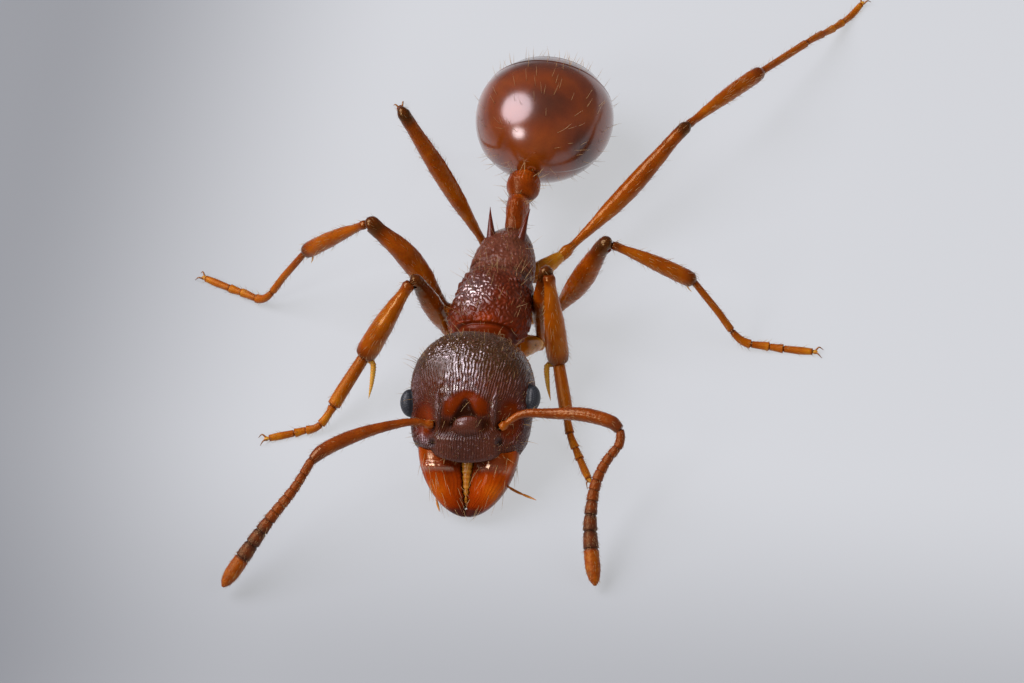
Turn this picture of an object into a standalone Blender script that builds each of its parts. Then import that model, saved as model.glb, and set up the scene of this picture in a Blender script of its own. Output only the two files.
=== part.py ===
"""A worker of the European fire ant, Myrmica rubra, at life size, standing on six legs.

The ant faces -Y with its back to +Z, and the floor is z = 0. Every length below is in
millimetres and becomes metres when a mesh is made. Three local frames carry the shapes:
head, trunk and gaster each have x to the ant's left, y towards its rear and z to its back.
"""

import math

import bmesh
import bpy
from mathutils import Matrix, Vector

for leftover in list(bpy.data.objects):
    bpy.data.objects.remove(leftover)

MM = 0.001
GAP = 0.006  # clear space between neighbouring plates and limb segments

# Places and tilts of the three body frames
HEAD_CENTRE = (-0.008, -1.75, 0.64)
HEAD_TURN, HEAD_TILT = 2.6, 33.0  # degrees: towards the ant's left, and nose down
TRUNK_FRONT = (-0.01, -1.225, 0.665)  # where the neck joins the head
TRUNK_TILT, TRUNK_ROLL = -4.0, -2.0
GASTER_CENTRE = (0.045, 1.41, 0.555)
GASTER_TILT = -6.0

# Head capsule
HEAD_HALF_WIDTH = 0.52
HEAD_REAR, HEAD_WIDEST, HEAD_FRONT = 0.56, 0.08, -0.50
HEAD_HEIGHT_ABOVE, HEAD_HEIGHT_BELOW = 0.36, 0.38
CLYPEUS_REACH, CLYPEUS_HALF_WIDTH = 0.065, 0.30
CORNER_CUT, CORNER_WIDTH = 0.07, 0.16  # where the front edge draws back beside the clypeus
SOCKET_X, SOCKET_Y = 0.29, -0.26
EYE_Y = {"left": 0.01, "right": -0.075}  # the head is not quite even
EYE_ANGLE = 14.0  # up from the side of the head
EYE_HALF_LENGTH, EYE_HALF_HEIGHT, EYE_BULGE = 0.118, 0.095, 0.085
EYE_SIDES = 14

# Mandibles
MANDIBLE_REACH = 0.49
MANDIBLE_HALF_WIDTH = 0.43
MANDIBLE_HALF_HEIGHT = 0.15
MANDIBLE_PARTING = 0.05  # from the middle line to each toothed edge, at its inner end

# Trunk and waist: (y, half width, height above, depth below) in the trunk frame
PRONOTUM = (
    (0.0, 0.075, 0.05, 0.07), (0.05, 0.11, 0.08, 0.12), (0.12, 0.24, 0.16, 0.17),
    (0.21, 0.33, 0.215, 0.185), (0.33, 0.35, 0.245, 0.19), (0.47, 0.33, 0.26, 0.20),
    (0.61, 0.325, 0.25, 0.215), (0.73, 0.30, 0.215, 0.225), (0.81, 0.28, 0.175, 0.22),
)
PROPODEUM = (
    (0.82, 0.278, 0.165, 0.215), (0.91, 0.275, 0.17, 0.225), (1.03, 0.262, 0.185, 0.22),
    (1.16, 0.228, 0.18, 0.205), (1.27, 0.185, 0.13, 0.185), (1.36, 0.135, 0.06, 0.145),
    (1.40, 0.10, 0.03, 0.11),
)
PETIOLE = (
    (1.41, 0.07, 0.04, 0.075), (1.47, 0.078, 0.06, 0.08), (1.54, 0.08, 0.12, 0.09),
    (1.61, 0.092, 0.17, 0.095), (1.68, 0.094, 0.16, 0.095), (1.75, 0.085, 0.09, 0.09),
    (1.78, 0.075, 0.06, 0.075),
)
POSTPETIOLE = (
    (1.79, 0.08, 0.06, 0.08), (1.84, 0.115, 0.115, 0.11), (1.91, 0.142, 0.16, 0.13),
    (1.98, 0.14, 0.15, 0.13), (2.04, 0.115, 0.10, 0.11), (2.06, 0.095, 0.07, 0.09),
)
SPINE_ROOT, SPINE_TIP = (0.125, 1.17, 0.12), (0.175, 1.44, 0.235)
SPINE_RADIUS = 0.034

# Gaster: the first segment's plates cover its front, the others its rear
GASTER_HALF_WIDTH = 0.60
GASTER_FRONT, GASTER_WIDEST, GASTER_REAR = -0.575, 0.08, 0.68
GASTER_HEIGHT_ABOVE, GASTER_HEIGHT_BELOW = 0.52, 0.49
GASTER_SPLIT = 0.30

# Legs: lengths of coxa, femur with trochanter, tibia, and the two runs of the tarsus
LEG_LENGTHS = {
    "fore": (0.40, 0.88, 0.85, 0.675, 0.46),
    "mid": (0.31, 1.08, 0.84, 0.685, 0.62),
    "hind": (0.40, 1.56, 1.03, 0.76, 0.74),
}
HIPS = {"fore": (0.16, 0.28, -0.27), "mid": (0.16, 0.74, -0.31), "hind": (0.16, 1.12, -0.29)}
# Stance: (degrees outwards from straight ahead, degrees above level) for the coxa, femur,
# tibia and first tarsal run. The last run has one angle, and dips until its sole is flat
# on the floor.
STANCE = {
    "fore_right": ((131, -30), (68.2, 75.6), (47.6, -45.6), (32.6, -29.7), 69.9),
    "mid_right": ((81, 3), (107.8, 52.9), (94.8, -39.4), (76, -53), 111.4),
    "hind_right": ((163, -13), (116, 61), (-124, -75), (157, -35), 148),
    "fore_left": ((145, -36), (130.5, 80.7), (16.3, -60.8), (17, -11.7), 29.5),
    "mid_left": ((118, -36), (101.2, 59.4), (89.6, -30.1), (67, -51.4), 89.3),
    "hind_left": ((143, -5), (143, 15), (149, -11), (151, -18), 153),
}
SOLE_HEIGHT = 0.026  # of the tarsus's middle line over the floor where it lies flat
# Radii along each segment: (share of its length, radius)
COXA = ((0.0, 0.05), (0.08, 0.085), (0.3, 0.105), (0.65, 0.085), (0.92, 0.058), (1.0, 0.04))
FEMUR = (
    (0.0, 0.035), (0.04, 0.055), (0.09, 0.055), (0.13, 0.036), (0.25, 0.05), (0.42, 0.078),
    (0.58, 0.085), (0.75, 0.072), (0.9, 0.058), (0.97, 0.052), (1.0, 0.035),
)
TIBIA = (
    (0.0, 0.022), (0.04, 0.034), (0.12, 0.034), (0.3, 0.050), (0.6, 0.067), (0.85, 0.069),
    (0.97, 0.058), (1.0, 0.035),
)
TROCHANTER_CLEARANCE = 0.065  # from the joint's centre to the end of each segment
COXA_STOUTNESS = {"fore": 1.0, "mid": 0.9, "hind": 0.8}
FEMUR_STOUTNESS = {"fore": 1.05, "mid": 1.18, "hind": 0.95}
TIBIA_STOUTNESS = {"fore": 1.36, "mid": 1.0, "hind": 0.95}
# How far the middle of each femur is bowed upwards
FEMUR_BOW = {"fore_right": 0.02, "mid_right": 0.12, "hind_right": 0.02,
             "fore_left": 0.02, "mid_left": -0.05, "hind_left": -0.05}
TARSUS_RADIUS = {"fore": (0.064, 0.036), "mid": (0.036, 0.036), "hind": (0.038, 0.032)}
SPUR_LENGTH, SPUR_RADIUS = 0.30, 0.024
SPUR_CLEARANCE = 0.10  # from the middle of the tibia's end
FOOT_CLEARANCE = 0.032  # from the tibia's end to the foot's first ring
SPUR_SPREAD = {"left": 0.05, "right": 0.35}  # how far each leans away from its foot
CLAW_SPREAD, CLAW_LENGTH, CLAW_RADIUS = 0.045, 0.075, 0.011

# Antennae: middle lines from the elbow's side of the socket to the elbow, then to the tip
SCAPES = {
    "right": ((-0.46, -2.16, 0.77), (-0.77, -2.30, 0.79), (-1.02, -2.46, 0.79),
              (-1.19, -2.61, 0.78)),
    "left": ((0.47, -1.99, 0.78), (0.74, -1.97, 0.80), (0.97, -1.97, 0.82),
             (1.16, -2.00, 0.82), (1.31, -2.04, 0.80)),
}
FUNICULI = {
    "right": ((-1.215, -2.665, 0.755), (-1.32, -2.86, 0.65), (-1.49, -3.06, 0.50),
              (-1.63, -3.25, 0.37), (-1.86, -3.56, 0.13)),
    "left": ((1.335, -2.09, 0.765), (1.32, -2.17, 0.71), (1.22, -2.29, 0.61),
             (1.15, -2.46, 0.50), (1.14, -2.71, 0.36), (1.18, -2.96, 0.22), (1.24, -3.19, 0.09)),
}
SCAPE = ((0.0, 0.03), (0.05, 0.036), (0.12, 0.034), (0.4, 0.042), (0.75, 0.056), (0.95, 0.05),
         (1.0, 0.03))
FUNICULUS = ((0.0, 0.02), (0.04, 0.032), (0.1, 0.034), (0.3, 0.040), (0.5, 0.046), (0.62, 0.053),
             (0.75, 0.06), (0.88, 0.062), (0.96, 0.042), (1.0, 0.015))
PALPS = {
    "right": ((-0.165, -2.07, 0.10), (-0.26, -2.33, 0.04), (-0.21, -2.52, 0.05)),
    "left": ((0.115, -2.06, 0.12), (0.35, -2.24, 0.09), (0.60, -2.37, 0.12)),
}
PALP_RADIUS = 0.014

HEAD = (Matrix.Translation(HEAD_CENTRE) @ Matrix.Rotation(math.radians(HEAD_TURN), 4, "Z")
        @ Matrix.Rotation(math.radians(HEAD_TILT), 4, "X"))
TRUNK = (Matrix.Translation(TRUNK_FRONT) @ Matrix.Rotation(math.radians(TRUNK_TILT), 4, "X")
         @ Matrix.Rotation(math.radians(TRUNK_ROLL), 4, "Y"))
GASTER = (Matrix.Translation(GASTER_CENTRE)
          @ Matrix.Rotation(math.radians(GASTER_TILT), 4, "X"))
SIDES = {"left": 1, "right": -1}

# name: (base colour, roughness)
FINISHES = {
    "head": ((0.10, 0.045, 0.03), 0.4),
    "eye": ((0.02, 0.02, 0.025), 0.45),
    "mandible": ((0.50, 0.13, 0.015), 0.25),
    "trunk": ((0.20, 0.05, 0.03), 0.35),
    "gaster": ((0.22, 0.05, 0.02), 0.2),
    "leg": ((0.45, 0.14, 0.02), 0.3),
    "antenna": ((0.40, 0.09, 0.03), 0.35),
    "spur": ((0.75, 0.45, 0.08), 0.4),
}


def make_object(name, mesh, finish):
    """Adds the mesh to the scene as one node with its own material."""
    colour, roughness = FINISHES[finish]
    material = bpy.data.materials.new(name)
    material.use_nodes = True
    shader = material.node_tree.nodes["Principled BSDF"]
    shader.inputs["Base Color"].default_value = (*colour, 1.0)
    shader.inputs["Roughness"].default_value = roughness
    mesh.materials.append(material)
    mesh.shade_smooth()
    node = bpy.data.objects.new(name, mesh)
    bpy.context.scene.collection.objects.link(node)
    return node


def loft(name, rings, finish):
    """A closed solid through rings of equally many points, which run the same way round."""
    shape = bmesh.new()
    loops = []
    for ring in rings:
        verts = [shape.verts.new(point) for point in ring]
        loops.append([shape.edges.new(pair) for pair in zip(verts, verts[1:] + verts[:1])])
    for near, far in zip(loops, loops[1:]):
        bmesh.ops.bridge_loops(shape, edges=near + far)
    bmesh.ops.holes_fill(shape, edges=loops[0] + loops[-1])
    bmesh.ops.recalc_face_normals(shape, faces=shape.faces)
    bmesh.ops.scale(shape, vec=(MM, MM, MM), verts=shape.verts)
    mesh = bpy.data.meshes.new(name)
    shape.to_mesh(mesh)
    shape.free()
    return make_object(name, mesh, finish)


def signed_power(value, power):
    return math.copysign(abs(value) ** power, value)


def oval(y, half_width, above, below, sides=24, boxiness=2.3):
    """A ring across a body frame at y: a superellipse with its own height and depth."""
    power = 2 / boxiness
    ring = []
    for k in range(sides):
        angle = 2 * math.pi * (k + 0.5) / sides
        x = half_width * signed_power(math.cos(angle), power)
        reach = above if math.sin(angle) > 0 else below
        ring.append(Vector((x, y, reach * signed_power(math.sin(angle), power))))
    return ring


def placed(frame, rings):
    return [[frame @ point for point in ring] for ring in rings]


# ---- Head capsule: round behind, widest at the eyes, with a blunt front ----

def head_section(y):
    """Half width, height above and depth below of the head at y."""
    if y > HEAD_WIDEST:
        share = (y - HEAD_WIDEST) / (HEAD_REAR - HEAD_WIDEST)
        closing = max(1 - share**2, 0)
        return (HEAD_HALF_WIDTH * closing**0.42, HEAD_HEIGHT_ABOVE * closing**0.42,
                HEAD_HEIGHT_BELOW * closing**0.5)
    share = (HEAD_WIDEST - y) / (HEAD_WIDEST - HEAD_FRONT)
    blunt = (1 - share**6) ** 0.35 if share < 1 else 0
    thinner = share**1.5
    return ((HEAD_HALF_WIDTH - 0.05 * share**2) * (0.8 + 0.2 * blunt),
            (HEAD_HEIGHT_ABOVE - 0.13 * thinner) * (0.8 + 0.2 * blunt),
            (HEAD_HEIGHT_BELOW - 0.16 * thinner) * (0.8 + 0.2 * blunt))


def mound(x, y, centre_x, centre_y, half_x, half_y):
    """1 in the middle of an oval patch, falling smoothly to 0 at its edge."""
    away = ((x - centre_x) / half_x) ** 2 + ((y - centre_y) / half_y) ** 2
    return (1 - away) ** 2 if away < 1 else 0


def face_relief(x, y):
    """How far the face stands out: the clypeus's dome and the frontal lobes, less the pits
    round the antennae."""
    return (0.045 * mound(x, y, 0, -0.24, 0.14, 0.12)
            + 0.03 * (mound(x, y, 0.15, -0.12, 0.09, 0.16) + mound(x, y, -0.15, -0.12, 0.09, 0.16))
            - 0.05 * (mound(x, y, 0.34, -0.17, 0.13, 0.24)
                      + mound(x, y, -0.34, -0.17, 0.13, 0.24)))


def front_edge(x):
    """How far the front edge reaches forward at x: most in the middle, and less than 0 at
    the rounded corners."""
    corner = min(max((abs(x) - CLYPEUS_HALF_WIDTH) / CORNER_WIDTH, 0), 1)
    return CLYPEUS_REACH * max(0, 1 - (x / CLYPEUS_HALF_WIDTH) ** 2) - CORNER_CUT * corner**2


def head_ring(y, sides=32):
    ring = oval(y, *head_section(y), sides=sides)
    forward = max(0, (HEAD_WIDEST - y) / (HEAD_WIDEST - HEAD_FRONT)) ** 6
    for point in ring:
        if point.z > 0:
            point.z += face_relief(point.x, point.y)
        point.y -= forward * front_edge(point.x)
    return ring


def head_surface(y, angle):
    """The point of the head's side at y, and the way out there; angle is up from +X."""
    half_width, above, _ = head_section(y)
    power = 2 / 2.3
    point = Vector((half_width * math.cos(angle) ** power, y, above * math.sin(angle) ** power))
    out = Vector((point.x / half_width**2, 0, point.z / above**2)).normalized()
    return point, out


def head(rings=21):
    middle, half = (HEAD_REAR + HEAD_FRONT) / 2, (HEAD_REAR - HEAD_FRONT) / 2
    stations = [middle + half * math.cos(math.pi * k / rings) for k in range(rings + 1)]
    stations[0] -= 0.002
    loft("head", placed(HEAD, [head_ring(y) for y in stations]), "head")


# ---- Compound eyes: domed ovals that follow the sides of the head ----

def eye(side_name):
    side = SIDES[side_name]
    rings = []
    inner = [(share, 0) for share in (0.15, 0.6, 0.9)]
    outer = [(share, 1) for share in (1.0, 0.92, 0.7, 0.4, 0.12)]
    for share, raised in inner + outer:
        height = GAP + 0.004 * raised + raised * EYE_BULGE * math.sqrt(max(1 - share**2, 0))
        ring = []
        for k in range(EYE_SIDES):
            turn = 2 * math.pi * k / EYE_SIDES
            y = EYE_Y[side_name] + EYE_HALF_LENGTH * share * math.cos(turn)
            angle = (math.radians(EYE_ANGLE)
                     + EYE_HALF_HEIGHT / HEAD_HALF_WIDTH * share * math.sin(turn))
            point, out = head_surface(y, angle)
            point = point + out * height
            ring.append(Vector((side * point.x, point.y, point.z)))
        rings.append(ring)
    loft(f"eye_{side_name}", placed(HEAD, rings), "eye")


# ---- Mandibles: curved triangular blades that close in front of the mouth ----

def mandible(side_name):
    side = SIDES[side_name]
    root = HEAD_FRONT - 2 * GAP
    rings = []
    for k in range(12):
        share = min(k / 11, 0.985)
        outer = MANDIBLE_HALF_WIDTH * (1 - share**1.5) ** 0.52
        inner = GAP / 2 + MANDIBLE_PARTING * (1 - share)
        half_width = max((outer - inner) / 2, 0.012)
        half_height = MANDIBLE_HALF_HEIGHT * math.sqrt(1 - share**2) + 0.015
        middle = inner + half_width
        ring = oval(0, half_width, half_height, half_height, sides=14, boxiness=2.6)
        for point in ring:
            point.x = side * (middle + point.x)
            point.y = root - share * MANDIBLE_REACH - (1 - share) ** 3 * front_edge(point.x)
            point.z += 0.02 - 0.05 * share
        rings.append(ring)
    loft(f"mandible_{side_name}", placed(HEAD, rings), "mandible")


# ---- Trunk, waist and gaster ----

def plate(name, sections, finish, sides=22):
    rings = [oval(*section, sides=sides) for section in sections]
    return loft(name, placed(TRUNK, rings), finish)


def spine(side):
    """A cone that leans back from the propodeum, as a helper for the union."""
    root = TRUNK @ Vector((side * SPINE_ROOT[0], *SPINE_ROOT[1:])) * MM
    tip = TRUNK @ Vector((side * SPINE_TIP[0], *SPINE_TIP[1:])) * MM
    shape = bmesh.new()
    bmesh.ops.create_cone(shape, cap_ends=True, segments=10, radius1=SPINE_RADIUS * MM,
                          radius2=0.004 * MM, depth=(tip - root).length)
    turn = Vector((0, 0, 1)).rotation_difference(tip - root).to_matrix().to_4x4()
    bmesh.ops.transform(shape, matrix=Matrix.Translation((root + tip) / 2) @ turn,
                        verts=shape.verts)
    mesh = bpy.data.meshes.new("spine")
    shape.to_mesh(mesh)
    shape.free()
    helper = bpy.data.objects.new("spine", mesh)
    helper.hide_render = True
    helper.display_type = "WIRE"
    bpy.context.scene.collection.objects.link(helper)
    return helper


def gaster_section(y):
    """Half width, height above and depth below of the gaster at y."""
    if y < GASTER_WIDEST:
        share = (GASTER_WIDEST - y) / (GASTER_WIDEST - GASTER_FRONT)
        closing = max(1 - share**2.1, 0) ** 0.5
    else:
        share = (y - GASTER_WIDEST) / (GASTER_REAR - GASTER_WIDEST)
        closing = max(1 - share**2, 0) ** 0.62
    return (GASTER_HALF_WIDTH * closing, GASTER_HEIGHT_ABOVE * closing,
            GASTER_HEIGHT_BELOW * closing)


def gaster_part(name, start, end, count):
    """The gaster's rings from start to end, closer together towards its two ends."""
    rings = []
    for k in range(count + 1):
        y = start + (end - start) * (1 - math.cos(math.pi * k / count)) / 2
        y = min(max(y, GASTER_FRONT + 0.004), GASTER_REAR - 0.004)
        rings.append(oval(y, *gaster_section(y), sides=26, boxiness=2.05))
    return loft(name, placed(GASTER, rings), "gaster")


# ---- Limbs: tubes along a smooth line, with a radius for each share of the length ----

def smooth_line(points, count):
    """Catmull-Rom line through the points, at count + 1 equally spaced parameters."""
    points = [Vector(point) for point in points]
    ends = [2 * points[0] - points[1], *points, 2 * points[-1] - points[-2]]
    line = []
    for k in range(count + 1):
        along = k / count * (len(points) - 1)
        first = min(int(along), len(points) - 2)
        t = along - first
        a, b, c, d = ends[first:first + 4]
        line.append(0.5 * (2 * b + (c - a) * t + (2 * a - 5 * b + 4 * c - d) * t**2
                           + (3 * b - a - 3 * c + d) * t**3))
    return line


def at_share(line, share):
    """Point and direction on a line at a share of its length."""
    lengths = [(b - a).length for a, b in zip(line, line[1:])]
    left = share * sum(lengths)
    for a, b, length in zip(line, line[1:], lengths):
        if left <= length + 1e-9:
            return a + (b - a) * (left / length), (b - a).normalized()
        left -= length
    return line[-1], (line[-1] - line[-2]).normalized()


def tube_rings(line, profile, sides, stoutness=1.0):
    rings = []
    for share, radius in profile:
        centre, ahead = at_share(line, share)
        across = ahead.cross(Vector((0, 0, 1)))
        across = across.normalized() if across.length > 1e-3 else Vector((1, 0, 0))
        up = across.cross(ahead)
        ring = []
        for k in range(sides):
            turn = 2 * math.pi * k / sides
            ring.append(centre + stoutness * radius
                        * (math.cos(turn) * across + math.sin(turn) * up))
        rings.append(ring)
    return rings


def limb(name, points, profile, finish, sides=10, stoutness=1.0, floor=False):
    """A tube; with floor set, what would sink below z = 0 is flattened into a sole."""
    rings = tube_rings(smooth_line(points, 24), profile, sides, stoutness)
    if floor:
        for ring in rings:
            for point in ring:
                point.z = max(point.z, 0.0)
    return loft(name, rings, finish)


def bowed(start, end, bow):
    """Three points from start to end, the middle one lifted by bow."""
    return start, (start + end) / 2 + Vector((0, 0, bow)), end


def aim(side, outwards, above):
    """Unit vector that turns outwards from straight ahead and rises above level."""
    outwards, above = math.radians(outwards), math.radians(above)
    return Vector((side * math.sin(outwards) * math.cos(above),
                   -math.cos(outwards) * math.cos(above), math.sin(above)))


def leg(pair, side_name):
    side = SIDES[side_name]
    *poses, last_turn = STANCE[f"{pair}_{side_name}"]
    lengths = LEG_LENGTHS[pair]
    hip = TRUNK @ Vector((side * HIPS[pair][0], *HIPS[pair][1:]))
    joints = [hip]
    for (outwards, above), length in zip(poses, lengths):
        joints.append(joints[-1] + length * aim(side, outwards, above))
    drop = math.degrees(math.asin((SOLE_HEIGHT - joints[-1].z) / lengths[-1]))
    joints.append(joints[-1] + lengths[-1] * aim(side, last_turn, drop))
    hip, trochanter, knee, ankle, bend, toe = joints

    tag = f"{pair}_{side_name}"
    knee_radius = 0.052 * FEMUR_STOUTNESS[pair]
    shin = (ankle - knee).normalized()
    thigh = (knee - trochanter).normalized()
    hip_line = (trochanter - hip).normalized()
    coxa_end = trochanter - hip_line * TROCHANTER_CLEARANCE
    limb(f"coxa_{tag}", (hip, (hip + coxa_end) / 2, coxa_end), COXA, "leg", sides=12,
         stoutness=COXA_STOUTNESS[pair])
    femur_start = trochanter + TROCHANTER_CLEARANCE * thigh
    limb(f"femur_{tag}", bowed(femur_start, knee, FEMUR_BOW[tag]), FEMUR, "leg",
         stoutness=FEMUR_STOUTNESS[pair])
    # The tibia hangs on the knee's outer face, further off the more the knee is bent
    outer = (shin - min(0, shin.dot(thigh)) * thigh).normalized()
    bend_share = math.sqrt((1 - shin.dot(thigh)) / 2)
    tibia_start = knee + outer * (GAP + knee_radius * (0.2 + 1.8 * bend_share))
    limb(f"tibia_{tag}", bowed(tibia_start, ankle, 0.015), TIBIA, "leg",
         stoutness=TIBIA_STOUTNESS[pair])

    thick, thin = TARSUS_RADIUS[pair]
    foot_start = ankle + shin * GAP * 2 + (bend - ankle).normalized() * FOOT_CLEARANCE
    toe_back = toe + 0.25 * (bend - toe)
    toe_back.z = toe.z
    run = (foot_start, (foot_start + bend) / 2, bend, (bend + toe_back) / 2 - Vector((0, 0, 0.02)),
           toe_back, toe)
    profile = [(0.0, 0.6 * thick), (0.04, thick), (0.25, 0.85 * thick)]
    profile += [(share, thin) for share in (0.45, 0.6, 0.72, 0.82, 0.91, 0.97)]
    profile.append((1.0, 0.6 * thin))
    limb(f"tarsus_{tag}", run, profile, "leg", sides=8, floor=True)
    claws(tag, toe, (toe - toe_back).normalized(), thin)
    if pair == "fore":
        spur(side_name, ankle, (bend - ankle).normalized())


def claws(tag, toe, ahead, radius):
    """Two hooked claws on one short cross-piece, bent down to the floor."""
    across = Vector((-ahead.y, ahead.x, 0)).normalized()
    root = toe + ahead * (CLAW_RADIUS + GAP + 0.004)
    up = Vector((0, 0, 1))
    arms = []
    for sign in (1, -1):
        tip = root + ahead * CLAW_LENGTH + sign * across * CLAW_SPREAD
        tip.z = CLAW_RADIUS
        crook = root + ahead * 0.6 * CLAW_LENGTH + sign * across * 0.8 * CLAW_SPREAD
        arms.append((tip, crook + up * 0.02))
    path = (arms[0][0], arms[0][1], root + up * 0.004, arms[1][1], arms[1][0])
    profile = [(share, CLAW_RADIUS * (1.0 - 1.2 * abs(share - 0.5)))
               for share in (0.0, 0.15, 0.3, 0.42, 0.5, 0.58, 0.7, 0.85, 1.0)]
    limb(f"claws_{tag}", path, profile, "leg", sides=6, floor=True)


def spur(side_name, ankle, ahead):
    """The comb that cleans the antenna, on the inner side of a fore tibia's end."""
    inner = Vector((-SIDES[side_name], 0, 0))
    inner = (inner - ahead * inner.dot(ahead)).normalized()
    start = ankle + inner * SPUR_CLEARANCE + ahead * 0.01
    lean = ahead * 0.85 + inner * SPUR_SPREAD[side_name] + Vector((0, 0, -0.3))
    end = start + SPUR_LENGTH * lean.normalized()
    profile = ((0.0, 0.6 * SPUR_RADIUS), (0.1, SPUR_RADIUS), (0.6, 0.8 * SPUR_RADIUS),
               (1.0, 0.2 * SPUR_RADIUS))
    middle = (start + end) / 2 + inner * 0.01
    limb(f"spur_fore_{side_name}", (start, middle, end), profile, "spur", sides=8)


def antenna(side_name):
    side = SIDES[side_name]
    half_width, above, _ = head_section(SOCKET_Y)
    rise = above * (1 - (SOCKET_X / half_width) ** 2.3) ** (1 / 2.3)
    socket = HEAD @ Vector((side * SOCKET_X, SOCKET_Y,
                            rise + face_relief(SOCKET_X, SOCKET_Y) + 0.04 + GAP))
    elbow = Vector(SCAPES[side_name][-1])
    limb(f"scape_{side_name}", (socket, *SCAPES[side_name]), SCAPE, "antenna")
    start = Vector(FUNICULI[side_name][0])
    start += (start - elbow).normalized() * GAP
    limb(f"funiculus_{side_name}", (start, *FUNICULI[side_name][1:]), FUNICULUS, "antenna")


def palp(side_name):
    profile = ((0.0, 0.6 * PALP_RADIUS), (0.1, PALP_RADIUS), (0.9, 0.8 * PALP_RADIUS),
               (1.0, 0.3 * PALP_RADIUS))
    limb(f"palp_{side_name}", PALPS[side_name], profile, "spur", sides=6)


# ---- Put the ant together ----

head()
plate("pronotum", PRONOTUM, "trunk")
propodeum = plate("propodeum", PROPODEUM, "trunk")
for spine_side in SIDES.values():
    union = propodeum.modifiers.new("spine", "BOOLEAN")
    union.operation = "UNION"
    union.solver = "EXACT"
    union.object = spine(spine_side)
plate("petiole", PETIOLE, "leg", sides=16)
plate("postpetiole", POSTPETIOLE, "leg", sides=18)
gaster_part("gaster_front", GASTER_FRONT, GASTER_SPLIT, 11)
gaster_part("gaster_rear", GASTER_SPLIT + GAP, GASTER_REAR, 7)
for side_name in SIDES:
    eye(side_name)
    mandible(side_name)
    antenna(side_name)
    palp(side_name)
    for pair in LEG_LENGTHS:
        leg(pair, side_name)
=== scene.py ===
"""A worker of the European fire ant, Myrmica rubra, as a life-size museum model.

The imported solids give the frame: the ant faces -Y with its back to +Z, on a floor at z = 0.
Lengths are in millimetres until surface() or coat() makes a mesh of them. Head, trunk and
gaster each have a frame of their own: x to the ant's left, y towards its rear, z to its back.
"""

import math

import bpy
import numpy as np
from mathutils import Matrix, Quaternion, Vector


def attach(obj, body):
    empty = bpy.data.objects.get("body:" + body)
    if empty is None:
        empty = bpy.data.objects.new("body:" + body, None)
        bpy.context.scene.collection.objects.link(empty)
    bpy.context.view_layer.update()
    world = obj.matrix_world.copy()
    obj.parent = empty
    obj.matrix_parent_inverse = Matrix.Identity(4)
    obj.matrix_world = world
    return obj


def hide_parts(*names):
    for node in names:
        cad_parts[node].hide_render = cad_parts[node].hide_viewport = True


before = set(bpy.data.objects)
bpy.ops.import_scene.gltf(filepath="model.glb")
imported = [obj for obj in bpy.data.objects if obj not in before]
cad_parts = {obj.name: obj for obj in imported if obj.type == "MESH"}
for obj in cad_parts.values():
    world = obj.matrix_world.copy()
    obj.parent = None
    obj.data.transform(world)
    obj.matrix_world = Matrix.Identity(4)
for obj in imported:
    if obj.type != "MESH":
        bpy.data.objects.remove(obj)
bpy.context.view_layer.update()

# ---- Camera, floor and light ------------------------------------------------------------
# A long lens looks down on the ant's face from in front and a little to its left. The floor
# is a matt pale sheet that glows faintly by itself: painted light that softens the shadows and
# fades towards two edges of the view. A large soft lamp stands high on the ant's right and a
# smaller one low in front, and the room fills the rest.

MM = 0.001  # one millimetre in the row frame's metres
VIEW_TARGET = (0.282, -1.327, 0.915)
VIEW_AZIMUTH, VIEW_ELEVATION, VIEW_ROLL = 16.14, 50.0, -8.0  # degrees
VIEW_DISTANCE = 60.0
LENS, SENSOR = 251.0, 36.0  # both in the lens's own millimetres
FLOOR_HALF = 400.0
FLOOR_COLOUR = (0.11, 0.12, 0.135)
FLOOR_ROUGHNESS, FLOOR_SHINE = 0.9, 0.2
FLOOR_GLOW = (0.52, 0.525, 0.54)  # the floor's own glow, painted light which softens shadows
GLOW_FADE = (-1.3, -4.7, 0.34)  # towards the ant's right: from there, to there, down to this
GLOW_FADE_AHEAD = (-1.6, -4.6, 0.58)  # the same ahead of it
ROOM_COLOUR, ROOM_STRENGTH = (0.86, 0.92, 1.0), 0.14
# Lamps: direction from the ant, distance, width, watts, colour
LAMPS = {
    "key": ((-0.590, 0.03, 0.805), 60.0, 50.0, 0.042, (1.0, 0.93, 0.98)),
    "front": ((-0.524, -0.602, 0.604), 60.0, 20.0, 0.012, (1.0, 0.94, 0.92)),
    "fill": ((0.75, -0.25, 0.60), 60.0, 50.0, 0.012, (1.0, 0.95, 0.93)),
}


def from_angles(azimuth, elevation):
    """Unit vector towards a viewer at that azimuth and elevation, in degrees."""
    a, e = math.radians(azimuth), math.radians(elevation)
    return Vector((math.sin(a) * math.cos(e), -math.cos(a) * math.cos(e), math.sin(e)))


camera = bpy.data.objects.new("camera", bpy.data.cameras.new("camera"))
bpy.context.scene.collection.objects.link(camera)
bpy.context.scene.camera = camera
camera.data.lens, camera.data.sensor_width = LENS, SENSOR
camera.data.clip_start, camera.data.clip_end = MM, 2 * FLOOR_HALF * MM
towards_viewer = from_angles(VIEW_AZIMUTH, VIEW_ELEVATION)
camera.location = (Vector(VIEW_TARGET) + towards_viewer * VIEW_DISTANCE) * MM
camera.rotation_mode = "QUATERNION"
camera.rotation_quaternion = ((-towards_viewer).to_track_quat("-Z", "Y")
                              @ Quaternion((0, 0, 1), math.radians(VIEW_ROLL)))

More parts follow.
